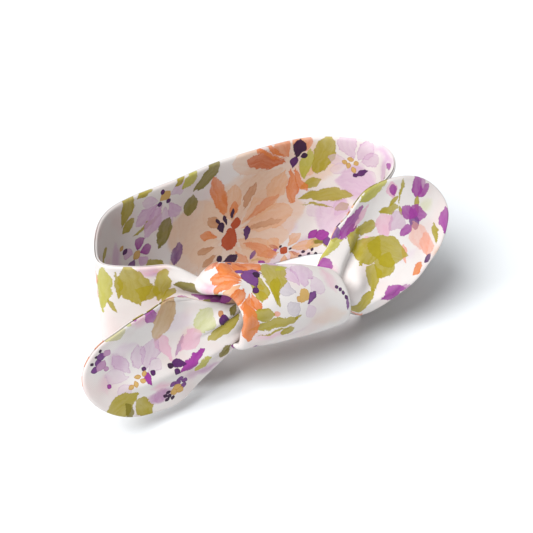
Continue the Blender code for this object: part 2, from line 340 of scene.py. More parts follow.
class Tail:
    """A leaf of cloth on a walked middle line.

    yaw, pitch, lean and cup are (root, tip) pairs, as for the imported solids. shoulder and
    root_share shape the lower edge, and the pair in upper does the same for the upper edge.
    """

    def __init__(self, root, yaw, pitch, lean, cup, length, shoulder, root_share, upper, start,
                 relief):
        self.length, self.shoulder, self.cup = length, shoulder * length, cup
        self.root_half = root_share * TAIL_WIDTH / 2
        self.upper_shoulder, self.upper_half = upper[0] * length, upper[1] * TAIL_WIDTH / 2
        self.start, self.relief = start, relief
        share = np.linspace(0, 1, WALK_STEPS)
        yaw, pitch = (np.radians(mix(*pair, share)) for pair in (yaw, pitch))
        ahead = [np.cos(pitch) * np.cos(yaw), np.cos(pitch) * np.sin(yaw), np.sin(pitch)]
        ahead = np.stack(ahead, 1)
        walked = np.cumsum(ahead[:-1] * length / (WALK_STEPS - 1), axis=0)
        self.middle = np.array(root) + np.concatenate([[(0, 0, 0)], walked])
        up = np.array([0.0, 0.0, 1.0]) - ahead * ahead[:, 2:]
        up /= np.linalg.norm(up, axis=1)[:, None]
        front = np.cross(up, ahead)
        front *= -np.sign(front[:, 1:2])
        sine = mix(*lean, share)[:, None] / (TAIL_WIDTH / 2)
        cosine = np.sqrt(1 - sine**2)
        self.side = up * cosine - front * sine
        self.front = front * cosine + up * sine
        self.share = share
        self.ahead = ahead[0]
        self.slant = -self.side[0][0] / ahead[0][0]
        self.turned = 1.0 if ahead[0][0] > 0 else -1.0

    def read(self, rows, along):
        """A value of the middle line, such as its place, at a distance along it."""
        return np.stack([np.interp(along / self.length, self.share, row) for row in rows.T], 1)

    def half_width(self, along, above):
        """How far the leaf reaches from its middle line, above it or below it."""
        upper = mix(self.upper_half, TAIL_WIDTH / 2, smooth(along / self.upper_shoulder))
        lower = mix(self.root_half, TAIL_WIDTH / 2, smooth(along / self.shoulder))
        return np.where(above, upper, lower)

    def surface(self, along, across):
        """A point of the leaf in its resting folds."""
        curl = mix(*self.cup, along / self.length) * (2 * across / TAIL_WIDTH) ** 2
        lift = curl + self.relief(along, across)
        point = self.read(self.middle, along) + self.ahead * np.minimum(along, 0.0)[:, None]
        squeeze = self.squeeze(along)
        point = point + self.read(self.side, along) * (across * squeeze)[:, None]
        return point + self.read(self.front, along) * lift[:, None]

    def squeeze(self, along):
        """The knot's grip draws the root together."""
        grip = 1 - smooth((along - self.start + 5) / 9)
        return 1 - grip * max(0.0, 1 - GRIPPED_HALF / self.root_half)

    def flat_place(self, u, v):
        """Shares of the leaf's outline as distances along and across it."""
        sine = np.sin(math.pi * (v - 0.5))
        reach = self.shoulder + (self.length - self.shoulder) * np.sqrt(1 - np.minimum(sine**2, 1))
        root = self.start - ROOT_INSIDE
        along = root + (reach - root) * u
        across = sine * self.half_width(along, sine > 0)
        return along + self.slant * across * (1 - u), across

    def edge_distance(self, along, across):
        """How far a point of the flat leaf is from its sewn edge."""
        steps = np.linspace(0, 1, OUTLINE_STEPS)
        one, zero = np.ones(OUTLINE_STEPS), np.zeros(OUTLINE_STEPS)
        sides = [self.flat_place(steps, zero), self.flat_place(one, steps)]
        sides.append(self.flat_place(steps, one))
        outline = np.concatenate([np.stack(side, 1) for side in sides])
        nearest = np.full(len(along), 1e9)
        for (x0, y0), (x1, y1) in zip(outline, outline[1:]):
            length2 = max((x1 - x0) ** 2 + (y1 - y0) ** 2, 1e-12)
            t = np.clip(((along - x0) * (x1 - x0) + (across - y0) * (y1 - y0)) / length2, 0, 1)
            gap = np.hypot(along - x0 - t * (x1 - x0), across - y0 - t * (y1 - y0))
            nearest = np.minimum(nearest, gap)
        return nearest


print("a tail is", TAIL_WIDTH, "mm wide and runs", ROOT_INSIDE, "mm on inside the knot")

# %% [markdown]
# A fold in a leaf follows a line on the flat cloth. On the left tail a long crease runs out
# of the knot towards the tip, and a short tuck lies above it. On the right tail the cloth
# bulges where it leaves the knot, and a valley runs from there towards the upper edge. Each
# fold is a height over its line, so the folds can simply be added up.

# %% The folds in each tail


def line_distance(along, across, start, end):
    """Distance from a line on the flat cloth, positive above it, and the share along it."""
    run = np.array(end, float) - np.array(start, float)
    length = np.hypot(*run)
    x, y = along - start[0], across - start[1]
    return (y * run[0] - x * run[1]) / length, (x * run[0] + y * run[1]) / length**2


def overlap(height, distance, edge, fade):
    """Cloth that lies over cloth: a step at the line, which dies out to both sides."""
    return height * np.tanh(distance / edge) * np.exp(-np.abs(distance) / fade)


def left_relief(along, across):
    root = near_end(along + 2, 24)
    pleats = 1.7 * root * np.sin(across / 2.9 + 0.6)
    distance, share = line_distance(along, across, (0, -6.5), (62, -10.5))
    reach = smooth((share + 0.2) / 0.3) * near_end(share - 0.75, 0.35)
    ridge = 4.4 * np.exp(-np.sqrt(distance**2 + 0.4) / 9) - 0.1 * np.maximum(-distance, 0)
    crease = reach * ridge + overlap(1.5 * near_end(share - 0.2, 0.6), distance, 1.2, 6)
    groove, share = line_distance(along, across, (-2, 7.5), (22, 3))
    tuck = overlap(1.8 * near_end(share - 0.5, 0.7), groove, 1.1, 5.5)
    wave = 0.5 * np.sin(along / 9.0 + across / 12.0) + 0.25 * np.sin(along / 3.7 - across / 5.0)
    return pleats + crease + tuck + wave


def right_relief(along, across):
    root = near_end(along - 4, 18)
    pleats = 1.6 * root * np.sin(across / 3.1 + 1.2)
    distance, share = line_distance(along, across, (13, -1), (33, 12))
    reach = smooth((share + 0.3) / 0.4) * near_end(share - 0.7, 0.5)
    margin = -0.5 * reach * (np.sqrt(np.maximum(distance, 0.0) ** 2 + 0.3) - 0.55)
    valley = -3.2 * reach * hump((distance + 4.2) / 3.2)
    bulge = 4.2 * hump((along - 19) / 6.5, (across + 8.5) / 5.5)
    lower, share = line_distance(along, across, (8, -21.5), (42, -23.5))
    hem = 0.7 * near_end(share - 0.7, 0.5) * np.minimum(lower, 0.0)
    wave = 0.6 * np.sin(along / 8.0 - across / 10.0 + 1.0) + 0.25 * np.sin(along / 3.9 + across / 5.0)
    return pleats + margin + valley + bulge + hem + wave


bulge_height = float(right_relief(np.array([19.0]), np.array([-8.5]))[0])
print(f"the right tail bulges {bulge_height:.1f} mm where it leaves the knot")

# %% [markdown]
# The left tail leaves the knot downwards and comes up again towards its tip. The right one
# climbs away from the knot and leans back over the wall of the ring. Both start a few
# millimetres inside the knot, so that no end shows in its mouths.

# %% The two tails
left_tail = Tail(
    root=(KNOT_LEFT + 2.2, -7.5, 38.0), yaw=(172, 180), pitch=(-13, 17), lean=(2.9, 1.9),
    cup=(-4, 10), length=79.0, shoulder=0.47, root_share=0.40, upper=(0.47, 0.40), start=4.2,
    relief=left_relief,
)
right_tail = Tail(
    root=(KNOT_RIGHT - 8.6, -10.0, 35.5), yaw=(4, 2), pitch=(26, 3), lean=(4.8, 17.7),
    cup=(4, 7), length=84.0, shoulder=0.30, root_share=0.57, upper=(0.56, 0.33), start=10.6,
    relief=right_relief,
)
print("tails:", left_tail.length, "and", right_tail.length, "mm long")

# %% [markdown]
# A tail is the end of the same tube of cloth, so it too has a front and a back layer with a
# rolled edge, and an allowance between them. The grid runs from the root to the tip, and
# from the lower edge to the upper one, so its rows close up where the leaf is rounded.

# %% The two layers and the allowance of each tail
TAIL_SEAM_INSET = 1.6
ALLOWANCE_START = 0.16  # the share of the leaf, from its root, where the allowance starts


def tail_layer(name, tail, side):
    """side is 1 for the front layer and -1 for the back one."""

    def flat(u, v):
        return np.stack(tail.flat_place(u, v), 1)

    def place(u, v):
        along, across = tail.flat_place(u, v)
        offset = side * tail.turned * rolled(tail.edge_distance(along, across))
        return off_surface(tail.surface, along, across, offset)

    lengthwise = np.concatenate([np.linspace(0, 0.985, 118), [0.9895, 0.993, 0.9962, 0.9986, 1.0]])
    crosswise = np.linspace(0, 1, 110)
    return cloth_sheet(name, lengthwise, crosswise, flat, place)


def tail_allowance(name, tail):
    """A strip along the lower edge, round the tip and back along the upper edge."""

    def flat_inset(share, depth):
        third = share * 3
        u = np.where(third < 1, third, np.where(third < 2, 1.0, 3 - third))
        v = np.where(third < 1, 0.0, np.where(third < 2, third - 1, 1.0))
        u = np.maximum(u, ALLOWANCE_START)
        along, across = tail.flat_place(u, v)
        middle = tail.shoulder + 0.25 * (tail.length - tail.shoulder)
        inward_x, inward_y = middle - along, -across
        sides = (third < 1) | (third > 2)
        inward_x = np.where(sides, inward_x * 0.15, inward_x)
        length = np.maximum(np.hypot(inward_x, inward_y), 1e-6)
        inset = TAIL_SEAM_INSET + depth
        return along + inward_x / length * inset, across + inward_y / length * inset

    def place(share, depth):
        return tail.surface(*flat_inset(share, depth))

    shares = np.linspace(0, 1, 150)
    depths = np.linspace(0, SEAM_DEPTH - 1, 5)
    return cloth_sheet(name, shares, depths, lambda a, b: np.stack(flat_inset(a, b), 1), place)


left_front = tail_layer("left_tail_front_cloth", left_tail, 1)
left_back = tail_layer("left_tail_back_cloth", left_tail, -1)
left_allowance = tail_allowance("left_tail_allowance", left_tail)
right_front = tail_layer("right_tail_front_cloth", right_tail, 1)
right_back = tail_layer("right_tail_back_cloth", right_tail, -1)
right_allowance = tail_allowance("right_tail_allowance", right_tail)
print("tail layers made")

# %% [markdown]
# The knot is one strand of the strip wrapped round the other. It is lofted as a sleeve of
# upright rings. Its two ends roll inwards like the mouth of a rolled sleeve, and the left
# mouth runs slantwise: at the top the cloth reaches further over the strip than in front.

# %% The knot's section and its two mouths
KNOT_HEIGHT, KNOT_DEPTH = (41.0, 27.0), (34.0, 23.0)  # at its left and its right end
KNOT_BULGE = 0.12  # how much fuller the knot is half way along
RIGHT_RADIUS = 1.7  # how far the right mouth's rim rolls


def knot_section(along):
    """Centre (y, z) and half sizes (y, z) of the knot, at a distance from its left end."""
    share = along / KNOT_LENGTH
    fuller = 1 + KNOT_BULGE * np.sin(math.pi * np.clip(share, 0, 1))
    high = mix(*KNOT_HEIGHT, share) / 2 * fuller
    deep = mix(*KNOT_DEPTH, share) / 2 * fuller
    return mix(-5.0, -13.0, share), 35 + mix(10.0, -1.5, share), deep, high


def left_lip(turn):
    """Where the left mouth's edge lies, for a turn in degrees: 90 is up, 180 in front."""
    return -3.5 - 13.5 * hump((turn - 91) / 37) - 1.0 * hump((turn - 205) / 50)


def left_radius_at(turn):
    """How far the left mouth's rim rolls: fuller at the shoulder."""
    return 1.3 + 1.0 * hump((turn - 88) / 34)


def right_lip(turn):
    """Where the right mouth's edge lies: almost straight, and a little short underneath."""
    return KNOT_LENGTH + 0.8 - 1.6 * hump((turn - 270) / 40)


def slanted_section(along):
    """The section again, drawn in where the shoulder reaches out over the strip."""
    y, z, deep, high = knot_section(along)
    shoulder = smooth(-(along + 1) / 15)
    return y, z, deep * (1 - 0.14 * shoulder), high * (1 - 0.36 * shoulder)


def knot_flat(along, turn):
    """The place on the flat cloth of a spot on the knot."""
    _, _, deep, high = knot_section(along)
    round_it = 2 * math.pi * np.sqrt((deep**2 + high**2) / 2)
    return np.stack([along, (180 - turn) / 360 * round_it], -1)


print(f"the knot is {KNOT_LENGTH} mm long; on top it reaches {-left_lip(90.0):.0f} mm further left")

# %% [markdown]
# One line of the sleeve, from the left mouth to the right one, starts inside, turns round
# the left rim, runs along the knot, turns round the right rim and ends inside again. That
# line is laid out at every turn round the knot, and tension folds are pressed into it.

# %% The wrap of the knot
MOUTH_DEPTH = 7.0  # how far the cloth runs on inside each mouth
DRAWN_IN = 0.12  # how fast the cloth inside a mouth closes in on the strand


def knot_ring(share, turn):
    """The flat place, the place along the knot and the inset of a profile point."""
    left, right = left_lip(turn), right_lip(turn)
    left_radius = left_radius_at(turn)
    lead = MOUTH_DEPTH + math.pi * left_radius
    tail = MOUTH_DEPTH + math.pi * RIGHT_RADIUS
    outer = right - left - left_radius - RIGHT_RADIUS
    walk = share * (lead + outer + tail) - lead
    flat_along = left + left_radius + walk
    turned_in = np.clip(-walk / left_radius, 0, math.pi)
    beyond = np.maximum(-walk - math.pi * left_radius, 0)
    x = left + left_radius + np.maximum(walk, 0) - left_radius * np.sin(turned_in) + beyond
    inset = left_radius * (1 - np.cos(turned_in)) + beyond * DRAWN_IN
    over = walk - outer
    turned_right = np.clip(over / RIGHT_RADIUS, 0, math.pi)
    beyond = np.maximum(over - math.pi * RIGHT_RADIUS, 0)
    x = np.where(over > 0, right - RIGHT_RADIUS + RIGHT_RADIUS * np.sin(turned_right) - beyond, x)
    inset = np.where(over > 0, RIGHT_RADIUS * (1 - np.cos(turned_right)) + beyond * DRAWN_IN, inset)
    return flat_along, x, inset


def knot_folds(along, turn):
    """Soft tension folds: positive stands out."""
    spread = hump((along + 2) / 14)
    radiating = 0.7 * spread * np.sin(np.radians(turn) * 7 + along / 6)
    crease = -1.3 * hump((turn - 78) / 16, (along - 28) / 3.0)
    slack = 0.45 * np.sin(along / 8.0 + np.radians(turn) * 2)
    return radiating + crease + slack


def knot_place(share, turn):
    """A point of the wrap. The cloth inside the mouths stays smooth."""
    flat_along, along, inset = knot_ring(share, turn)
    y, z, deep, high = slanted_section(along)
    out = knot_folds(flat_along, turn) * (inset < 3.0) - inset
    angle = np.radians(turn)
    y = y + (deep + out) * np.cos(angle)
    z = z + (high + out) * np.sin(angle)
    return np.stack([KNOT_LEFT + along, y, z], 1)


wrap = cloth_sheet(
    "knot_wrap_cloth",
    np.linspace(0, 1, 110),
    np.linspace(0, 360, 150),
    lambda share, turn: knot_flat(knot_ring(share, turn)[0], turn),
    knot_place,
    tube=True,
)
print("knot wrap:", len(wrap.data.polygons), "faces")

# %% [markdown]
# The strand inside the knot shows only in its two mouths, as a bundle of folds. It is a
# closed roll with pleats running along it.

# %% The strand inside the knot


def core_place(share, turn):
    """A point of the closed roll, which starts well inside the left mouth's rim."""
    along = mix(left_lip(turn) + 10.5, KNOT_LENGTH - 3.5, share)
    y, z, deep, high = slanted_section(along)
    angle = np.radians(turn)
    inset = mix(2 * left_radius_at(turn) + 2.2, 5.6, smooth(share * 3))
    fold = 1 + 0.10 * np.sin(8 * angle + share * 2) + 0.06 * np.sin(3 * angle + 1)
    closing = 1 - 0.8 * np.maximum(smooth((0.06 - share) / 0.06), smooth((share - 0.95) / 0.05))
    y = y + (deep - inset) * np.minimum(fold, 1.0) * closing * np.cos(angle)
    z = z + (high - inset) * np.minimum(fold, 1.0) * closing * np.sin(angle)
    return np.stack([KNOT_LEFT + along, y, z], 1)


core = cloth_sheet(
    "knot_core_strand",
    np.concatenate([[0, 0.012, 0.03, 0.05], np.linspace(0.08, 0.92, 30), [0.95, 0.97, 0.988, 1]]),
    np.linspace(0, 360, 90),
    lambda share, turn: np.stack([share * KNOT_LENGTH, turn / 4.5], 1),
    core_place,
    tube=True,
)
closing = bmesh.new()
closing.from_mesh(core.data)
open_edges = [edge for edge in closing.edges if edge.is_boundary]
bmesh.ops.holes_fill(closing, edges=open_edges, sides=0)
bmesh.ops.recalc_face_normals(closing, faces=closing.faces)
closing.to_mesh(core.data)
closing.free()
core.data.shade_smooth()
print("knot core closed over", len(open_edges), "open edges")

# %% [markdown]
# The print is a loose watercolour of cosmos flowers, small orchid blossoms and leaves. On
# the mill's screen every petal, leaf and dot is one stroke of a brush, so it is one stroke
# here too: a place on the flat cloth, a direction, a length, a width and an ink. A stroke
# is never an image. It is only a few numbers that the material turns into a painted shape.
# The inks come first, and each one is named for what it colours.

# %% Inks


def ink(red, green, blue):
    """A linear colour from the usual 0 to 255 values."""
    shares = np.array([red, green, blue]) / 255
    return tuple(np.where(shares <= 0.04045, shares / 12.92, ((shares + 0.055) / 1.055) ** 2.4))


OLIVE, DARK_OLIVE, YELLOW_GREEN = ink(176, 160, 22), ink(134, 122, 20), ink(192, 186, 68)
PALE_GREEN, ORANGE, RUST = ink(214, 216, 156), ink(230, 134, 66), ink(190, 78, 32)
DEEP_ORANGE, PEACH, PALE_PEACH = ink(212, 106, 46), ink(238, 186, 144), ink(238, 206, 180)
BROWN_PEACH, SALMON, OCHRE = ink(206, 146, 100), ink(240, 174, 152), ink(216, 176, 104)
LILAC, PALE_LILAC, ORCHID = ink(218, 178, 212), ink(228, 204, 222), ink(164, 60, 158)
VIOLET, PURPLE, PLUM = ink(126, 70, 140), ink(90, 36, 102), ink(58, 22, 62)
PINK, MAUVE, GREY_LILAC = ink(238, 190, 208), ink(200, 154, 190), ink(202, 192, 204)
TAN = ink(208, 170, 118)
print("orange ink is", [round(float(share), 3) for share in ORANGE], "in linear light")

# %% [markdown]
# A watercolour is built up from the back: wide wet washes, then petals and leaves, then
# veins, then the small dark marks in the hearts. Each kind of mark gets its own short
# helper, so that a flower reads as a list of petals.

# %% Brush strokes
WASH, BODY, VEIN, HEART, DOT = range(5)  # the order in which strokes are painted


def stroke(x, y, turn, length, width, colour, order=BODY, strength=0.97, outline=0.35, soft=0.3,
           blunt=1.5, fade=0.25, streak=0.5):
    """One brush stroke from (x, y), in millimetres; turn is in degrees from +x towards +y."""
    return (order, x, y, turn, length, width / 2 / length, blunt, colour, strength, outline,
            soft, fade, streak)


def centred(x, y, turn, length, width, colour, **more):
    """The same stroke, given by its middle. The small marks in a flower's heart are opaque."""
    if more.get("order", BODY) >= HEART:
        more = {"strength": 1.0, "fade": 0.0, "streak": 0.12, "soft": 0.22} | more
    angle = math.radians(turn)
    x0, y0 = x - math.cos(angle) * length / 2, y - math.sin(angle) * length / 2
    return stroke(x0, y0, turn, length, width, colour, **more)


def vein(*place, **look):
    """A stroke that lies over the petals."""
    return stroke(*place, order=VEIN, **look)


def mark(*place, **look):
    """A small opaque shape in the heart of a flower."""
    return centred(*place, order=HEART, **look)


def leaf(x, y, turn, length, width, colour=OLIVE, **more):
    """A leaf or a bud, pointed at both ends and given by its middle."""
    options = {"blunt": 1.1, "fade": 0.12, "outline": 0.25, "streak": 0.35} | more
    return centred(x, y, turn, length, width, colour, **options)


def wash(x, y, length, width, colour, turn=0, strength=0.45):
    """A thin patch of colour with no outline, under everything else."""
    return centred(x, y, turn, length, width, colour, order=WASH, strength=strength, outline=0.0,
                   soft=4.5, blunt=1.0, fade=0.0, streak=0.6)


def dot(x, y, size, colour=PLUM, turn=40, order=DOT):
    """A short, almost round mark with a dark rim."""
    return centred(x, y, turn, size * 1.3, size * 1.1, colour, order=order, outline=0.9, blunt=1.0)


def dots(places, size, colour=PLUM):
    """Dots of one size, each turned a little further than the one before."""
    return [dot(x, y, size, colour, turn=37 * number) for number, (x, y) in enumerate(places)]


def petals(x, y, gap, rows, **more):
    """Petals round a heart: rows of (turn, length, width, colour), starting at the gap."""
    made = []
    for turn, length, width, colour in rows:
        angle = math.radians(turn)
        spot = x + math.cos(angle) * gap, y + math.sin(angle) * gap
        made.append(stroke(*spot, turn, length - gap, width, colour, **more))
    return made


print("a dot is", dot(0, 0, 2.0)[4], "mm long when its size is 2 mm")

# %% [markdown]
# The material can't look through a list of hundreds of strokes at every point, so each
# stroke is written onto the faces that it covers, as attributes of their corners. A face has
# room for twelve strokes, one over the other. Where more of them meet, the lowest kinds
# leave the top layers free, so that hearts and veins still find room over the petals.

# %% Painting strokes onto a piece
LAYERS = 12
KEPT_FREE = (4, 4, 2, 0, 0)  # top layers that washes, petals, veins and so on leave free
BEND_ROOM = 1.5  # in millimetres: how far the material may push a stroke's outline
FULLNESS = 0.7  # the smaller it is, the blunter the ends of a stroke


def paint(piece, strokes):
    """Writes each stroke onto the faces it covers, in the first free layer over older ones."""
    mesh = piece.data
    corners = len(mesh.loops)
    flat = np.empty(corners * 2)
    mesh.uv_layers["cloth"].data.foreach_get("uv", flat)
    flat = flat.reshape(-1, 2) / MM
    sides = np.empty(len(mesh.polygons), int)
    mesh.polygons.foreach_get("loop_total", sides)
    face_of = np.repeat(np.arange(len(sides)), sides)
    order_on = np.full((LAYERS, len(sides)), -1)
    place, form, brush = (np.zeros((LAYERS, corners, 3), np.float32) for _ in range(3))
    inks = np.zeros((LAYERS, corners, 4), np.float32)
    left_out = 0
    for order, x, y, turn, length, width, blunt, colour, strength, *look in sorted(
        strokes, key=lambda row: row[0]
    ):
        outline, soft, fade, streak = look
        angle = math.radians(turn)
        dx, dy = (flat - (x, y)).T / length
        px = dx * math.cos(angle) + dy * math.sin(angle)
        py = dy * math.cos(angle) - dx * math.sin(angle)
        margin = BEND_ROOM / length
        half = width * np.sin(math.pi * np.clip(px, 0.06, 0.97) ** blunt) ** FULLNESS
        covered = (px > -margin) & (px < 1 + margin) & (np.abs(py) < half + margin)
        if not covered.any():
            continue
        on_face = np.zeros(len(sides), bool)
        on_face[face_of[covered]] = True
        under = order_on[:, on_face]
        older = ((under >= 0) & (under < order)).any(1)
        lowest = np.flatnonzero(older).max() + 1 if older.any() else 0
        free = [n for n in range(lowest, LAYERS - KEPT_FREE[order]) if (under[n] < 0).all()]
        if not free:
            left_out += 1
            continue
        layer = free[0]
        order_on[layer, on_face] = order
        here = on_face[face_of]
        place[layer, here] = np.stack([px[here], py[here], np.full(here.sum(), length)], 1)
        form[layer, here] = (width, blunt, fade)
        inks[layer, here] = (*colour, strength)
        brush[layer, here] = (outline, soft, streak)
    for layer in range(LAYERS):
        for name, rows in (("place", place), ("form", form), ("brush", brush)):
            field = mesh.attributes.new(f"{name}_{layer}", "FLOAT_VECTOR", "CORNER")
            field.data.foreach_set("vector", rows[layer].ravel())
        field = mesh.attributes.new(f"ink_{layer}", "FLOAT_COLOR", "CORNER")
        field.data.foreach_set("color", inks[layer].ravel())
    print(f"{piece.name}: {len(strokes)} strokes, {left_out} left out")


print("a face has room for", LAYERS, "strokes")

# %% [markdown]
# The lining of the band shows the print best. A big orange cosmos fills its back wall, with
# a second one at the upper edge, leaves between them, and lilac blossoms towards each bend.
# Places are in millimetres: along the strip from its left neck, and up from its lower edge.

# %% The print on the band's inner layer
inner_print = [
    *petals(169, 28, 6, [
        (60, 34, 15, PALE_PEACH), (30, 34, 15, PEACH), (3, 37, 15, PEACH),
        (-22, 37, 14, PALE_PEACH),
        (-46, 35, 15, PEACH), (-74, 29, 15, PALE_PEACH), (196, 25, 14, PALE_PEACH),
        (226, 27, 14, PALE_PEACH), (86, 27, 13, PEACH), (124, 25, 13, PALE_PEACH),
    ], outline=0.45, fade=0.1, streak=0.9, strength=0.8),
    vein(166, 40, 104, 24, 8, ORANGE, blunt=1.2, fade=0.1, streak=0.8),
    vein(176, 38, 62, 17, 5.5, BROWN_PEACH, outline=0.7, streak=0.8),
    vein(163, 33, 128, 11, 6, BROWN_PEACH), vein(161, 28, 152, 11, 5.5, ORANGE),
    vein(160, 23, 178, 11, 5, BROWN_PEACH), vein(161, 18, 205, 10, 5, BROWN_PEACH),
    vein(176, 32, 22, 24, 6, ORANGE, strength=0.7, fade=0.4, streak=0.9),
    vein(178, 27, -2, 22, 5, BROWN_PEACH, strength=0.7, fade=0.4, streak=0.9),
    vein(176, 20, -38, 26, 7, ORANGE, strength=0.75, fade=0.3, streak=0.9),
    vein(172, 17, -66, 17, 6, ORANGE, strength=0.75, fade=0.3, streak=0.9),
    vein(170, 36, 80, 10, 6, ORANGE, outline=0.6),
    mark(172, 33, 70, 7, 6, RUST, blunt=1.0),
    mark(168, 25, 84, 14, 9, RUST, blunt=0.9),
    mark(163.5, 33, 100, 7, 4.6, PLUM), mark(166, 37, 105, 7, 2.6, PLUM),
    mark(170, 39, 80, 7, 2.4, PLUM), mark(162, 37, 120, 5, 2.2, PLUM),
    mark(178.5, 25, 76, 8.5, 4.4, PURPLE), mark(168, 12, 12, 10, 7, PLUM),
    dot(162, 15, 3.4, PLUM, 120, HEART),
    wash(149, 38, 34, 40, PALE_PEACH, 90, 0.9), wash(141, 18, 26, 26, PALE_PEACH, 20, 0.8),
    wash(176, 30, 74, 62, PALE_PEACH, 0, 0.75), wash(204, 56, 60, 34, PALE_PEACH, 0, 0.7),
    *petals(205, 58, 4, [
        (164, 36, 14, PALE_PEACH), (206, 27, 16, PALE_PEACH), (236, 22, 12, PEACH),
        (62, 17, 12, ORANGE), (118, 15, 9, ORANGE), (322, 14, 7, PEACH),
    ], outline=0.5, streak=0.8, strength=0.85),
    *petals(205, 58, 3, [
        (162, 27, 10, DEEP_ORANGE), (136, 22, 3, ORANGE), (148, 24, 3, ORANGE),
        (252, 23, 6, ORANGE),
        (272, 24, 7, ORANGE), (292, 20, 5, ORANGE), (220, 14, 3.5, DEEP_ORANGE),
    ], order=VEIN, fade=0.1, outline=0.5, streak=0.7),
    mark(209, 65, 70, 10, 8, PLUM, outline=0.8), mark(206.5, 58, 80, 7, 5, PURPLE),
    dot(212, 61, 3.2, PLUM, 10, HEART),
    leaf(213, 56, 76, 18, 7, YELLOW_GREEN), leaf(222, 60, 72, 24, 12), leaf(215, 44, 24, 12, 7),
    leaf(224, 37, 4, 30, 8), leaf(232, 30, 30, 9, 6), leaf(219, 31, -12, 20, 1.6),
    *petals(239, 56, 3, [
        (112, 18, 10, LILAC), (60, 16, 9, LILAC), (168, 15, 6, PALE_LILAC),
        (30, 17, 8, LILAC), (200, 14, 7, PALE_LILAC), (330, 15, 9, PALE_LILAC),
    ], outline=1.0, streak=0.7, strength=0.6),
    *dots([(236, 59), (239, 57), (235, 55), (238, 53), (233, 57)], 2.8, OCHRE),
    mark(242, 52, 38, 9, 3.4, PURPLE), dot(239, 50, 2.4, PURPLE),
    wash(241, 46, 26, 26, LILAC, 0, 0.75), wash(228, 24, 26, 24, LILAC, 60, 0.6),
    *petals(226, 20, 4, [(60, 16, 9, LILAC), (100, 18, 9, PALE_LILAC), (140, 16, 8, PALE_LILAC)],
            outline=0.5, streak=0.8, strength=0.6),
    dot(217, 13, 5, ORCHID), dot(222, 12, 6, ORCHID, 10), dot(225, 8, 4.5, VIOLET, 80),
    centred(218, 7, 10, 11, 7, OCHRE, order=BODY, blunt=1.0), wash(214, 9, 14, 12, MAUVE),
    *dots([(212, 3), (215, 1), (217, 3.5), (219, 0.6), (210, 0.8)], 1.9),
    *petals(131, 63, 3, [
        (206, 19, 9, LILAC), (236, 21, 9, LILAC), (268, 19, 8, PALE_LILAC), (300, 15, 8, LILAC),
        (20, 13, 8, PALE_LILAC), (172, 13, 7, PALE_LILAC),
    ], outline=0.8, streak=0.8),
    mark(131, 64, 30, 7, 6, OCHRE), *dots([(128, 61), (133, 61), (130, 67)], 2.4, PURPLE),
    leaf(120, 69, 15, 10, 3.5), leaf(140, 69, 25, 8, 3.5), leaf(146, 67, 35, 12, 6, YELLOW_GREEN),
    leaf(156, 65, 33, 20, 8, DARK_OLIVE), leaf(146, 53, 76, 12, 8, DARK_OLIVE),
    leaf(130, 44, 62, 17, 10, DARK_OLIVE), leaf(109, 65, 62, 17, 8), leaf(109, 56, 30, 10, 6),
    leaf(120, 52, 22, 20, 3), wash(138, 44, 22, 18, PALE_PEACH, 0, 0.5),
    *petals(113, 38, 2, [
        (70, 10, 6, ORCHID), (150, 9, 6, LILAC), (230, 9, 6, VIOLET), (310, 9, 6, LILAC),
        (10, 9, 6, ORCHID),
    ], outline=0.7),
    dot(113, 38, 4.4, OCHRE, order=HEART), leaf(137, 28, 75, 14, 7, VIOLET, streak=0.8),
    dot(106, 43, 3, PURPLE), dot(104, 46, 2.6, OCHRE), leaf(125, 25, 130, 18, 8),
    wash(99, 40, 26, 12, LILAC, 90, 0.7), leaf(96, 22, 70, 18, 8),
    leaf(103, 18, 20, 14, 5, DARK_OLIVE),
    wash(262, 60, 20, 16, LILAC, 90, 0.8), wash(260, 68, 34, 7, LILAC, 0, 1.0),
    leaf(268, 67, 10, 9, 2.4, ORCHID), wash(196, 20, 30, 18, PALE_LILAC, 0, 0.5),
]
print(len(inner_print), "strokes on the inner layer")

# %% [markdown]
# The rest of the cloth carries the same motifs at other turns. A few nosegays are repeated
# over it, a little differently each time, from a fixed seed.

# %% Repeating nosegays
MOTIF_STEP = (22.0, 21.0)  # millimetres from one motif to the next


def cosmos(x, y, size, turn, colour, heart):
    """Eight broad petals with veins and a dotted heart."""
    rows = [(turn + 45 * n, size * (0.85 + 0.3 * (n % 3) / 2), size * 0.42, colour) for n in range(8)]
    veins = [(turn + 12 + 90 * n, size * 0.7, size * 0.16, heart) for n in range(4)]
    return [
        *petals(x, y, size * 0.16, rows, outline=0.5, streak=0.85),
        *petals(x, y, size * 0.16, veins, order=VEIN, fade=0.6, strength=0.7),
        mark(x, y, turn, size * 0.36, size * 0.3, heart, blunt=1.0),
        *dots([(x + size * 0.24, y), (x - size * 0.14, y + size * 0.2)], size * 0.11, PLUM),
        dot(x - size * 0.05, y - size * 0.25, size * 0.13, PURPLE),
    ]


def blossom(x, y, size, turn):
    """Five lilac petals, an ochre heart and one purple stamen."""
    rows = [(turn + 72 * n, size, size * 0.62, (LILAC, PALE_LILAC)[n % 2]) for n in range(5)]
    angle = math.radians(turn + 30)
    return [
        *petals(x, y, size * 0.2, rows, outline=0.9, streak=0.8),
        mark(x, y, turn, size * 0.5, size * 0.42, OCHRE),
        centred(x + math.cos(angle) * size * 0.4, y + math.sin(angle) * size * 0.4, turn + 30,
                size * 0.5, size * 0.24, PURPLE, order=HEART),
    ]


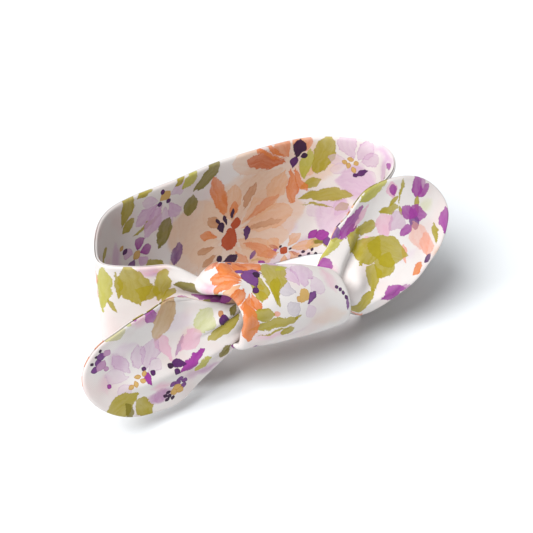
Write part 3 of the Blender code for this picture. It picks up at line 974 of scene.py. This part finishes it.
def buds(x, y, size, turn):
    """Three buds beside a thin stem."""
    angle = math.radians(turn)
    step = np.array([math.cos(angle), math.sin(angle)]) * size
    made = [leaf(x, y, turn, size * 2.6, size * 0.22)]
    for share, aside, lean, length, width, colour in (
        (1.0, 0.3, 30, 0.9, 0.5, ORCHID),
        (-0.4, 0.4, 60, 0.7, 0.4, VIOLET),
        (0.3, -0.4, -40, 0.8, 0.45, ORCHID),
    ):
        spot = x + step[0] * share, y + step[1] * share + size * aside
        made.append(leaf(*spot, turn + lean, size * length, size * width, colour))
    return made


def leaves(x, y, size, turn):
    """Three leaves that spread from one spot."""
    return [
        leaf(x, y, turn, size * 1.7, size * 0.72),
        leaf(x + size * 0.8, y + size * 0.3, turn - 50, size, size * 0.5),
        leaf(x - size * 0.7, y + size * 0.5, turn + 60, size * 1.2, size * 0.42, DARK_OLIVE),
    ]


def nosegays(x_range, y_range, seed):
    """Motifs on a loose grid over a stretch of cloth."""
    chance = np.random.default_rng(seed)
    made = []
    number = 0
    for x in np.arange(*x_range, MOTIF_STEP[0]):
        for y in np.arange(*y_range, MOTIF_STEP[1]):
            number += 1
            spot_x, spot_y = x + chance.uniform(-4, 4), y + chance.uniform(-4, 4)
            turn = chance.uniform(0, 360)
            kind = (number * 3 + seed) % 5
            if kind == 0:
                made += cosmos(spot_x, spot_y, 15, turn, (PEACH, ORANGE)[number % 2], RUST)
            elif kind == 1:
                made += blossom(spot_x, spot_y, 10, turn)
            elif kind == 2:
                made += buds(spot_x, spot_y, 8, turn)
            else:
                made += leaves(spot_x, spot_y, 10, turn)
            made.append(wash(spot_x + 9, spot_y - 6, 18, 14, (PINK, PALE_LILAC)[number % 2]))
    return made


inner_print += nosegays((8, 92), (12, 70), 3) + nosegays((272, 334), (12, 70), 5)
inner_print += nosegays((182, 262), (6, 12), 4)
print(len(inner_print), "strokes on the inner layer with its nosegays")

# %% [markdown]
# The outer layer shows beside the knot: a double olive leaf, a narrow yellow one, pink
# washes at the upper edge and a small orchid mark where the strip enters the knot.

# %% The print on the band's outer layer
outer_print = [
    leaf(40, 60, 76, 21, 15), leaf(28, 59, 104, 18, 9), leaf(34, 56, 20, 13, 8),
    leaf(25, 53, 130, 10, 5),
    wash(31, 67, 10, 8, MAUVE, 0, 0.9),
    leaf(54, 57, 96, 26, 9, YELLOW_GREEN), leaf(47, 60, 84, 15, 3.4), leaf(50, 49, 60, 9, 2.4),
    wash(34, 68, 14, 8, PINK, 0, 0.8), wash(27, 68, 10, 7, SALMON, 0, 0.5),
    leaf(16, 60, 170, 13, 8, DARK_OLIVE), leaf(8, 45, 0, 9, 6, DARK_OLIVE),
    leaf(14, 45, 0, 7, 4, DARK_OLIVE),
    leaf(9, 50.5, 20, 13, 6, ORCHID), leaf(2, 44, 40, 12, 7, ORCHID),
    leaf(18.5, 48, 20, 10, 6, MAUVE),
    leaf(57, 12, 100, 14, 7), leaf(61, 4, 60, 10, 5, DARK_OLIVE),
    wash(40, 30, 24, 20, PALE_LILAC, 0, 0.35),
    *nosegays((68, 330), (12, 70), 1),
]
print(len(outer_print), "strokes on the outer layer")

# %% [markdown]
# On the tails a place is given along the leaf from its root and across it from its middle.
# The left tail is full of small lilac and purple marks; the right one carries olive leaves,
# violet buds on stems and pink petals.

# %% The print on the tails' front layers
left_front_print = [
    leaf(58, 26.5, 10, 8, 5, ORCHID), stroke(52.5, 28, -140, 11, 6, ORCHID),
    wash(53, 23, 18, 9, PINK, 0, 0.9),
    stroke(34, 28, -62, 21, 14, TAN, strength=0.95, blunt=0.6, outline=0.5),
    wash(42, 24, 9, 8, PINK, 20, 1.0),
    centred(18, 9.5, 150, 14, 12, PALE_GREEN, strength=0.95, streak=0.8),
    centred(68, 18.5, 150, 12, 9, YELLOW_GREEN, strength=0.65), leaf(62, 24, 30, 7, 4, PALE_GREEN),
    *petals(52, -7, 4, [
        (46, 20, 6.5, LILAC), (86, 18, 8, LILAC), (117, 19, 11, LILAC), (150, 12, 7, PALE_LILAC),
        (16, 17, 8, PALE_LILAC), (-36, 12, 7, PALE_LILAC),
    ], outline=1.0, streak=0.8, strength=0.5, fade=0.0),
    *dots([(53, -6), (51, -8), (54, -9), (50, -5), (56, -10)], 2.2, OCHRE),
    mark(48.5, -8, 70, 7.5, 3.2, ORCHID), dot(46, -6, 2.4, PURPLE), dot(50, -3, 2.0, PURPLE),
    centred(38.5, 3.5, 70, 17, 7, PINK, outline=0.3),
    centred(31.5, 2, 120, 11, 3, ORCHID, strength=0.6),
    centred(26, 3, 150, 14, 9, PINK, outline=0.2), wash(27, 6, 14, 8, SALMON, 150, 0.5),
    mark(27, -5.6, 155, 15, 4.8, ORCHID, blunt=1.0),
    mark(33.5, -5.4, 20, 7, 5, PURPLE), dot(37.5, -5.4, 2.6), dot(35, -8.5, 2.4, PURPLE),
    *[dot(x, y, size, (VIOLET, MAUVE)[n % 2], 40 * n) for n, (x, y, size) in enumerate(
        [(72, 8, 4.4), (69, 9.5, 3.6), (73, 5, 3.6), (71, 3, 4.6), (74, 1.5, 3.4), (68, 1, 2.6)])],
    *dots([(74.5, 8), (76, 4.5), (73, 11)], 1.7, PLUM), wash(63, 4, 14, 12, MAUVE, 60, 0.6),
    *dots([(33.5, -13.5), (31.5, -15.5), (34.5, -15.5), (32, -18), (37, -15)], 2.7, VIOLET),
    *dots([(35, -17.5), (34, -19.6), (36.6, -19.4)], 3.2, OCHRE),
    *dots([(39, -18.6), (40.4, -20), (38.6, -20.8), (37.2, -22.4), (39.6, -22.4)], 1.9, PLUM),
    wash(43, -19, 10, 15, MAUVE, 90, 1.0), wash(42, -14, 14, 9, PINK, 0, 0.8),
    leaf(60, -18, -30, 19, 10.5), leaf(50, -22.5, 49, 13, 8),
    leaf(57, -22.5, 75, 11, 3.4, DARK_OLIVE, order=VEIN),
    wash(50, -26, 12, 5, PINK, 0, 0.9), wash(20, -14, 12, 9, MAUVE, 0, 0.8),
    wash(27, -14, 12, 9, MAUVE, 0, 0.6),
    leaf(23, -10, 150, 9, 6, YELLOW_GREEN), mark(8.5, 8.6, 80, 4, 2.8, BROWN_PEACH),
    mark(8.5, 5.8, 100, 5, 5, PURPLE), leaf(9, 2.4, -15, 19, 7),
    leaf(11.5, -9, -45, 8, 6, DARK_OLIVE),
    leaf(2, 9, 150, 7, 3, DARK_OLIVE), wash(30, 14, 20, 12, PALE_LILAC, 0, 0.4),
    wash(60, 10, 16, 10, PALE_LILAC, 0, 0.5),
    dot(66, -8, 2.2, ORCHID), wash(68, -6, 12, 10, PINK, 80, 0.5),
]
right_front_print = [
    leaf(47, 23.5, 0, 19, 7, YELLOW_GREEN), leaf(57, 18, 80, 9, 7, PINK, blunt=1.0),
    leaf(57.5, 17.5, 80, 7, 4.8, ORCHID, order=VEIN), leaf(56, 12.6, 15, 7, 3),
    leaf(61.5, 15, 60, 12, 2.2),
    leaf(70.5, 12.6, 64, 11, 7.5, ORCHID), leaf(73.5, 9, 16, 10, 5.5, ORCHID),
    leaf(75, 13, 60, 7, 3, MAUVE),
    leaf(67.5, 4.6, 68, 9, 3), leaf(52, 10.4, -22, 13, 4.2), leaf(57.5, 6.5, 80, 6, 2),
    leaf(61, 3.5, 110, 10, 7, ORCHID), leaf(66, 0, -30, 10, 7.5, ORCHID),
    leaf(62, -2, 60, 8, 6.5, VIOLET),
    leaf(64, 2, 20, 9, 6, ORCHID, order=VEIN), leaf(55.5, -3, 10, 8.5, 5.5, ORCHID),
    centred(46.5, 5, 80, 13, 10, PINK, outline=0.3),
    centred(53, 3.2, 20, 11, 10, MAUVE, strength=0.6),
    leaf(37.5, 10.4, -20, 12, 7), leaf(29.5, 9, 77, 16, 8.5), leaf(35, 3, 60, 7, 4, PINK),
    leaf(31, 17.2, 24, 18, 7, ORCHID), leaf(37, 17, 20, 12, 3, PINK),
    leaf(23.4, 17, 60, 8, 6, VIOLET),
    leaf(17.5, 12.6, 6, 15, 5.5, YELLOW_GREEN), leaf(12.4, 8, -60, 8, 6, ORCHID),
    leaf(9, 9.4, 20, 5, 4, ORCHID),
    wash(13, 4, 10, 7, PINK, 60, 0.8),
    leaf(34, -1, 20, 17, 14), leaf(42, -6, -50, 22, 15), leaf(37, -12, 30, 13, 11),
    leaf(29, -12.5, 50, 14, 9),
    leaf(18, -19.6, 190, 19, 5.5),
    leaf(61, -10, 88, 17, 10, SALMON, streak=0.9, strength=0.6),
    leaf(62.5, -15, 60, 12, 8, SALMON, streak=0.9),
    leaf(49.5, -12, 70, 10, 3, SALMON), leaf(51, -21.5, 14, 9, 4, ORANGE),
    leaf(59, -20.5, 20, 6, 2.4, PURPLE),
    leaf(33, -24, -8, 16, 6, ORCHID), leaf(38, -25, -8, 12, 4, MAUVE),
    leaf(11, -26, 20, 9, 5, SALMON),
    leaf(70, -12, 63, 11, 2.8), leaf(78, -9, 54, 14, 6.5, ORCHID),
    wash(66, -20, 12, 8, PEACH, 0, 0.5),
    wash(50, -14, 14, 10, PALE_LILAC, 0, 0.4), wash(72, 2, 10, 10, PALE_GREEN, 0, 0.5),
]
tail_back_print = nosegays((4, 84), (-22, 26), 2)
print(len(left_front_print), "strokes on the left tail,", len(right_front_print), "on the right one")

# %% [markdown]
# On the knot a spot is given by its distance from the knot's left end and its turn round
# the knot: 90 degrees is the top and 180 the front. An orange cosmos sits over the left
# mouth, with leaves beside it and a lilac blossom half way along.

# %% The print on the knot


def on_knot(along, turn):
    """The flat place of a spot on the knot."""
    return tuple(float(value) for value in knot_flat(np.array(along, float), np.array(turn, float)))


heart_x, heart_y = on_knot(2.6, 125)
lilac_x, lilac_y = on_knot(27, 146)
knot_print = [
    *petals(heart_x, heart_y, 3, [
        (140, 18, 8, ORANGE), (113, 19, 7.5, ORANGE), (84, 22, 8, ORANGE), (59, 23, 9, ORANGE),
        (162, 17, 4.5, ORANGE), (185, 16, 5, PEACH), (209, 14, 7, ORANGE), (246, 15, 6, ORANGE),
        (270, 12, 5, ORANGE), (312, 9, 4, PEACH), (350, 7, 3, PEACH),
    ], outline=0.6, streak=0.8, fade=0.0, blunt=1.5, strength=1.0),
    vein(*on_knot(-2.4, 140), -88, 22, 8.5, ORANGE, fade=0.0),
    wash(*on_knot(-4, 150), 8, 8, PEACH, 90, 0.6),
    mark(*on_knot(5.6, 103), -12, 12, 5, VIOLET, outline=1.0),
    dot(*on_knot(2.0, 99), 3.4, VIOLET), dot(*on_knot(8.5, 108), 3.2, PLUM),
    mark(*on_knot(4.6, 116), 96, 9, 7.4, VIOLET, outline=1.0), dot(*on_knot(4.6, 132), 3.0, PURPLE),
    leaf(*on_knot(6.5, 130), 78, 15, 8.5), leaf(*on_knot(16, 118), 70, 26, 13, OLIVE, blunt=1.9),
    leaf(*on_knot(12.5, 145), 100, 9, 3.5), leaf(*on_knot(14, 132), 60, 12, 5, OLIVE, order=VEIN),
    *petals(lilac_x, lilac_y, 4, [
        (102, 17, 8, LILAC), (66, 19, 12, LILAC), (150, 14, 8, GREY_LILAC), (20, 14, 9, PALE_LILAC),
        (215, 12, 8, GREY_LILAC), (285, 11, 7, PALE_LILAC),
    ], outline=0.8, streak=0.8, strength=0.7),
    mark(*on_knot(26.5, 147), 50, 8, 6, OCHRE), dot(*on_knot(24, 150), 3, OCHRE, order=HEART),
    mark(*on_knot(30.5, 150), 42, 9, 4, VIOLET, outline=1.0),
    leaf(*on_knot(4.5, 167), -6, 11, 6.4), leaf(*on_knot(11, 167), 0, 4, 3, SALMON),
    leaf(*on_knot(10.5, 181), 9, 27, 5.6), leaf(*on_knot(16.5, 195), 20, 8, 4.5),
    leaf(*on_knot(11, 193), 14, 20, 1.5), wash(*on_knot(8, 200), 20, 7, PINK, 5, 0.9),
    wash(*on_knot(22, 203), 16, 5, MAUVE, 5, 0.6), dot(*on_knot(21, 176), 1.6, OLIVE),
    *dots([on_knot(47, 134), on_knot(48.6, 139), on_knot(49.6, 146), on_knot(50.6, 156)], 1.9, PURPLE),
    leaf(*on_knot(51, 170), 90, 6, 2, VIOLET), wash(*on_knot(45, 115), 18, 10, PINK, 90, 0.6),
    leaf(*on_knot(-15.5, 127), 60, 9, 7, YELLOW_GREEN),
    wash(*on_knot(-15, 108), 12, 10, PINK, 0, 0.9),
    leaf(*on_knot(23, 96), 20, 8, 4, YELLOW_GREEN),
    wash(*on_knot(40, 190), 24, 14, PALE_PEACH, 0, 0.35),
    *nosegays((2, 50), (-45, -18), 6), *nosegays((2, 50), (36, 60), 7),
]
print(len(knot_print), "strokes on the knot")

# %% [markdown]
# The strand inside the knot is the same cloth, so petals and leaves run on into the mouths.
# A darker brown-peach wash over its left end is partly print and partly painted shade, where
# the strand lies deep in the left mouth. After that every list of strokes is painted onto its piece.

# %% The print and the painted shade on the strand, and the painting
core_print_and_shade = [
    # the brown-peach wash is partly print and partly painted shade: it darkens the strand deep in the
    # left mouth
    wash(3, 32, 50, 18, BROWN_PEACH, 90, 0.9), leaf(2, 36, 80, 14, 6, ORANGE),
    leaf(4, 27, 100, 13, 6, DARK_OLIVE),
    leaf(2, 20, 80, 12, 6, ORCHID), leaf(3, 46, 70, 12, 6, OLIVE), *nosegays((10, 52), (2, 78), 8),
]
print(len(core_print_and_shade), "strokes on the strand inside")

for piece, strokes in (
    (band_inner, inner_print), (band_outer, outer_print),
    (left_front, left_front_print), (right_front, right_front_print),
    (left_back, tail_back_print), (right_back, tail_back_print),
    (wrap, knot_print), (core, core_print_and_shade),
):
    paint(piece, strokes)

# %% [markdown]
# A material is a tree of small nodes. Written out one by one they hide the idea, so a
# number in the shader is wrapped here in a class with the usual operators: a sum of two
# such numbers adds a Math node and its links.

# %% Shader maths as Python expressions


class Socket:
    """A number that is worked out in the shader."""

    def __init__(self, maker, socket):
        self.maker, self.socket = maker, socket

    def math(self, operation, *others):
        values = {0: self, **dict(enumerate(others, start=1))}
        return self.maker.node("ShaderNodeMath", {"operation": operation}, values)[0]

    def __add__(self, other):
        return self.math("ADD", other)

    def __sub__(self, other):
        return self.math("SUBTRACT", other)

    def __rsub__(self, other):
        return (self * -1.0) + other

    def __mul__(self, other):
        return self.math("MULTIPLY", other)

    def __truediv__(self, other):
        return self.math("DIVIDE", other)

    def __pow__(self, other):
        return self.math("POWER", other)

    __radd__, __rmul__ = __add__, __mul__


class Finish:
    """A new material and the nodes in it."""

    def __init__(self, name):
        self.material = bpy.data.materials.new(name)
        self.material.use_nodes = True
        self.tree = self.material.node_tree
        self.surface = self.tree.nodes["Principled BSDF"]

    def node(self, kind, settings=None, inputs=None):
        """Adds a node, sets it up and returns its outputs as a list."""
        made = self.tree.nodes.new(kind)
        for key, value in (settings or {}).items():
            setattr(made, key, value)
        for key, value in (inputs or {}).items():
            self.put(made.inputs[key], value)
        return [Socket(self, output) for output in made.outputs if output.enabled]

    def put(self, socket, value):
        if isinstance(value, Socket):
            self.tree.links.new(value.socket, socket)
        else:
            socket.default_value = value

    def vector(self, operation, first, second):
        """Vector maths on two vectors."""
        return self.node("ShaderNodeVectorMath", {"operation": operation}, {0: first, 1: second})[0]

    def colours(self, blend, share, first, second):
        """The second colour blended over the first."""
        settings = {"data_type": "RGBA", "blend_type": blend}
        return self.node("ShaderNodeMix", settings, {0: share, 6: first, 7: second})[0]

    def split(self, vector):
        return self.node("ShaderNodeSeparateXYZ", {}, {0: vector})

    def joined(self, x, y, z):
        return self.node("ShaderNodeCombineXYZ", {}, {0: x, 1: y, 2: z})[0]

    def noise(self, vector, scale, detail=2.0, roughness=0.5):
        inputs = {"Vector": vector, "Scale": scale, "Detail": detail, "Roughness": roughness}
        return self.node("ShaderNodeTexNoise", {"noise_dimensions": "3D"}, inputs)

    def ramp(self, value, low, high):
        """0 up to low, 1 from high on, and an even S between."""
        settings = {"interpolation_type": "SMOOTHSTEP"}
        return self.node("ShaderNodeMapRange", settings, {0: value, 1: low, 2: high})[0]

    def field(self, name):
        """An attribute's colour, vector, number and alpha."""
        return self.node("ShaderNodeAttribute", {"attribute_name": name}, {})


print("shader maths is ready: +, -, *, / and ** each add a Math node")

# %% [markdown]
# The cloth is a fine plain weave: threads cross at right angles, each a little rounded, with
# loose fibres on top and slight creases that pressing never quite removes. All three are
# heights for one Bump node, and they follow the flat cloth, so the threads turn with every
# fold. The threads also shade the colour a little, because less light reaches between them.

# %% The cloth's weave, used by every cotton finish
YARN = 0.42  # one thread, in millimetres
WEAVE_RELIEF, FIBRE_RELIEF = 0.03, 0.05  # heights in millimetres
WEAVE_SHADE, FIBRE_SHADE, CLOTH_SHADE = 0.018, 0.05, 0.80


def cotton_base(finish, wrinkle):
    """The flat place in millimetres, and the normal of a fine plain weave."""
    cloth = finish.node("ShaderNodeUVMap", {"uv_map": "cloth"})[0]
    flat = finish.vector("MULTIPLY", cloth, (1000.0, 1000.0, 1000.0))
    x, y, _ = finish.split(flat)
    warp_thread = (x * (math.pi / YARN)).math("SINE")
    weft_thread = (y * (math.pi / YARN)).math("SINE")
    fibres = finish.noise(flat, 3.2, 3.0, 0.65)[0]
    soft_folds = finish.noise(flat, 0.11, 2.0, 0.5)[0]
    weave = warp_thread * weft_thread
    height = weave * WEAVE_RELIEF + fibres * FIBRE_RELIEF + soft_folds * wrinkle
    inputs = {"Strength": 0.55, "Distance": MM, "Height": height}
    normal = finish.node("ShaderNodeBump", {}, inputs)[0]
    thread_shade = weave * WEAVE_SHADE + fibres * FIBRE_SHADE + CLOTH_SHADE
    return flat, thread_shade, normal


def dress_cotton(finish, colour, normal):
    """Cotton is rough, hardly shines, and has a faint sheen from its fibres."""
    surface = finish.surface
    finish.put(surface.inputs["Base Color"], colour)
    finish.put(surface.inputs["Normal"], normal)
    surface.inputs["Roughness"].default_value = 0.88
    surface.inputs["Specular IOR Level"].default_value = 0.25
    surface.inputs["Sheen Weight"].default_value = 0.12
    surface.inputs["Sheen Roughness"].default_value = 0.5
    surface.inputs["Metallic"].default_value = 0.0


def shaded(finish, colour, shade):
    """The colour, made darker by a number from 0 to 1."""
    grey = finish.joined(shade, shade, shade)
    return finish.colours("MULTIPLY", 1.0, colour, grey)


print("threads are", YARN, "mm wide")

# %% [markdown]
# One material paints every stroke. In each layer it bends the stroke's place with noise, so
# no edge is ruled, measures how deep a point lies inside the stroke, and lays the ink over
# the cloth with a darker rim and long streaks, as watercolour dries. Short strokes bend
# less, or a dot would lose its shape. The two printed layers get a finish each, and the
# allowances show the plain side of the same cotton.

# %% The printed cotton
COTTON = ink(238, 232, 229)
BLUSH = ink(234, 216, 213)
BROAD_BEND, RAGGED_BEND = 4.6, 1.9  # millimetres
STEADY_HAND = 0.07  # the share of the bends that a stroke gets for each millimetre of it


def printed_cotton(name):
    """Blushing cotton with the strokes of every layer over it."""
    finish = Finish(name)
    flat, thread_shade, normal = cotton_base(finish, 0.5)
    tint = finish.ramp(finish.noise(flat, 0.045, 2.0)[0], 0.45, 0.72)
    colour = finish.colours("MIX", tint * 0.75, (*COTTON, 1.0), (*BLUSH, 1.0))
    broad = finish.split(finish.noise(flat, 0.17, 1.0)[1])
    ragged = finish.split(finish.noise(flat, 1.1, 2.0, 0.6)[1])
    bend_x, bend_y = (
        (broad[axis] - 0.5) * BROAD_BEND + (ragged[axis] - 0.5) * RAGGED_BEND for axis in (0, 1)
    )
    pools = finish.noise(flat, 0.42, 3.0, 0.6)[0]
    for layer in range(LAYERS):
        along, across, length = finish.split(finish.field(f"place_{layer}")[1])
        width, blunt, fade = finish.split(finish.field(f"form_{layer}")[1])
        outline, soft, streak = finish.split(finish.field(f"brush_{layer}")[1])
        own_ink = finish.field(f"ink_{layer}")
        steady = (length * STEADY_HAND).math("MINIMUM", 1.0) / length
        along = along + bend_x * steady
        across = across + bend_y * steady
        share = along.math("MAXIMUM", 0.0).math("MINIMUM", 1.0)
        half = width * ((share**blunt) * math.pi).math("SINE").math("MAXIMUM", 0.0) ** FULLNESS
        depth = (half - across.math("ABSOLUTE")) * length
        inside = finish.ramp(depth, 0.0, soft + 0.01)
        rim = (1.0 - finish.ramp(depth, 0.1, 0.75)) * outline
        lengthwise = finish.joined(share * 1.6, across * length * 0.5, length)
        grain = finish.ramp(finish.noise(lengthwise, 1.0, 2.0, 0.6)[0], 0.3, 0.7)
        pigment = rim + (1.0 - grain) * streak * 0.35 + (pools - 0.5) * 0.5
        deep = finish.colours("MULTIPLY", 0.75, own_ink[0], own_ink[0])
        darkening = pigment.math("MAXIMUM", 0.0).math("MINIMUM", 0.8)
        wet = finish.colours("MIX", darkening, own_ink[0], deep)
        fill = own_ink[3] * (1.0 - fade * share * share) * (1.0 - grain * streak * 0.25)
        cover = inside * (fill + rim * (1.0 - fill) * 0.9)
        colour = finish.colours("MIX", cover, colour, wet)
    dress_cotton(finish, shaded(finish, colour, thread_shade), normal)
    return finish.material


face_cotton = printed_cotton("printed cotton face")
lining_cotton = printed_cotton("printed cotton lining")

allowance_finish = Finish("plain side of the cotton")
_, plain_shade, plain_normal = cotton_base(allowance_finish, 0.3)
dress_cotton(allowance_finish, shaded(allowance_finish, (*COTTON, 1.0), plain_shade), plain_normal)
allowance_cotton = allowance_finish.material
print("finishes:", face_cotton.name, "/", lining_cotton.name, "/", allowance_cotton.name)

# %% [markdown]
# Now each sheet gets its thickness and its finish, and the imported part that it stands for
# is hidden. The sheets of the band ride on the band's body in the moving model; the tails'
# sheets stay where they are.

# %% Bodies and replaced parts
FACE = ("printed_face", face_cotton)
LINING = ("printed_lining", lining_cotton)
PLAIN = ("seam_allowance", allowance_cotton)
# each piece, the node it stands for, its slot and finish, its flat size and area in metres
PIECES = (
    ("band_outer_cloth", "band_outer_layer", *FACE, (0.072, 0.342), None),
    ("band_inner_cloth", "band_inner_layer", *LINING, (0.072, 0.342), None),
    ("band_top_allowance", "band_top_seam", *PLAIN, (0.010, 0.328), 0.00197),
    ("band_bottom_allowance", "band_bottom_seam", *PLAIN, (0.010, 0.328), 0.00197),
    ("knot_wrap_cloth", "knot_wrap", *FACE, (0.120, 0.085), None),
    ("left_tail_front_cloth", "left_tail_front_layer", *FACE, (0.055, 0.084), 0.0037),
    ("left_tail_back_cloth", "left_tail_back_layer", *LINING, (0.055, 0.084), 0.0037),
    ("left_tail_allowance", "left_tail_seam", *PLAIN, (0.010, 0.17), 0.0008),
    ("right_tail_front_cloth", "right_tail_front_layer", *FACE, (0.055, 0.082), 0.0038),
    ("right_tail_back_cloth", "right_tail_back_layer", *LINING, (0.055, 0.082), 0.0038),
    ("right_tail_allowance", "right_tail_seam", *PLAIN, (0.010, 0.17), 0.0008),
)
BLENDS = {
    # in millimetres from the hinge: where the cloth still belongs to the knot, and where it
    # is all tail
    "left": (np.array([3.0, 0.0, 0.0]), np.array([-6.0, 0.0, 0.0])),
    "right": (np.array([-3.0, 0.0, 0.0]), np.array([7.0, 0.0, 0.0])),
}

for name, node, slot, cotton, flat, area in PIECES:
    piece = pieces[name]
    make_final(piece, SEAM_CLOTH if slot == "seam_allowance" else CLOTH)
    piece.data.materials.clear()
    piece.data.materials.append(cotton)
    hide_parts(node)
    side = name.split("_")[0]
    if side in BLENDS:
        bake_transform(piece)
    else:
        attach(piece, "band")

core.data.materials.append(face_cotton)
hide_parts("knot_core")
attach(core, "band")
print(len(PIECES) + 1, "pieces ride on the model's bodies")

# %% [markdown]
# A plain white floor, one broad soft light high on the left and a pale sky show the shapes
# without hard shadows. A sun with a wide angle does this best: the light is the same all
# over, and the shadow is crisp under the cloth and fades away from it.

# %% Floor and light
floor_mesh = bmesh.new()
bmesh.ops.create_grid(floor_mesh, x_segments=4, y_segments=4, size=4.0)
floor_data = bpy.data.meshes.new("floor")
floor_mesh.to_mesh(floor_data)
floor_mesh.free()
floor = bpy.data.objects.new("floor", floor_data)
bpy.context.scene.collection.objects.link(floor)

floor_paint = bpy.data.materials.new("white floor")
floor_paint.use_nodes = True
floor_surface = floor_paint.node_tree.nodes["Principled BSDF"]
floor_surface.inputs["Base Color"].default_value = (0.76, 0.79, 0.815, 1.0)
floor_surface.inputs["Roughness"].default_value = 0.9
floor_surface.inputs["Specular IOR Level"].default_value = 0.1
floor_data.materials.append(floor_paint)

sun_data = bpy.data.lights.new("soft key light", "SUN")
sun_data.energy = 4.1
sun_data.angle = math.radians(36)  # the wider, the softer the shadow's edge
sun = bpy.data.objects.new("soft key light", sun_data)
travel = Vector((0.60, 0.13, -0.79))
sun.rotation_euler = travel.to_track_quat("-Z", "Y").to_euler()
bpy.context.scene.collection.objects.link(sun)

world = bpy.data.worlds.new("pale studio")
bpy.context.scene.world = world
world.use_nodes = True
sky = world.node_tree.nodes["Background"]
sky.inputs["Color"].default_value = (1.0, 1.0, 1.0, 1.0)
sky.inputs["Strength"].default_value = 0.36

bpy.context.scene.view_settings.view_transform = "Standard"
print("the light falls at", round(math.degrees(math.asin(-travel.normalized().z))), "degrees")

# %% [markdown]
# The camera looks down on the headband from the front left, through a long lens, so that
# the ring keeps its shape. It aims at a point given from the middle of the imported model's
# box, and stands back from there along one direction.

# %% Camera
AZIMUTH, ELEVATION, DISTANCE = math.radians(-36), math.radians(34.5), 0.712
box_middle = (np.array(cad_box[0]) + np.array(cad_box[1])) / 2
aim = Vector(box_middle + np.array([18.9, 6.2, -6.8]) * MM)
back = Vector((
    math.sin(AZIMUTH) * math.cos(ELEVATION),
    -math.cos(AZIMUTH) * math.cos(ELEVATION),
    math.sin(ELEVATION),
))
camera_data = bpy.data.cameras.new("camera")
camera_data.lens = 100.0
camera_data.sensor_width = 36.0
camera_data.clip_start = 0.02
camera = bpy.data.objects.new("camera", camera_data)
camera.location = aim + back * DISTANCE
camera.rotation_euler = (-back).to_track_quat("-Z", "Y").to_euler()
bpy.context.scene.collection.objects.link(camera)
bpy.context.scene.camera = camera
print("camera stands", DISTANCE, "m from the headband")
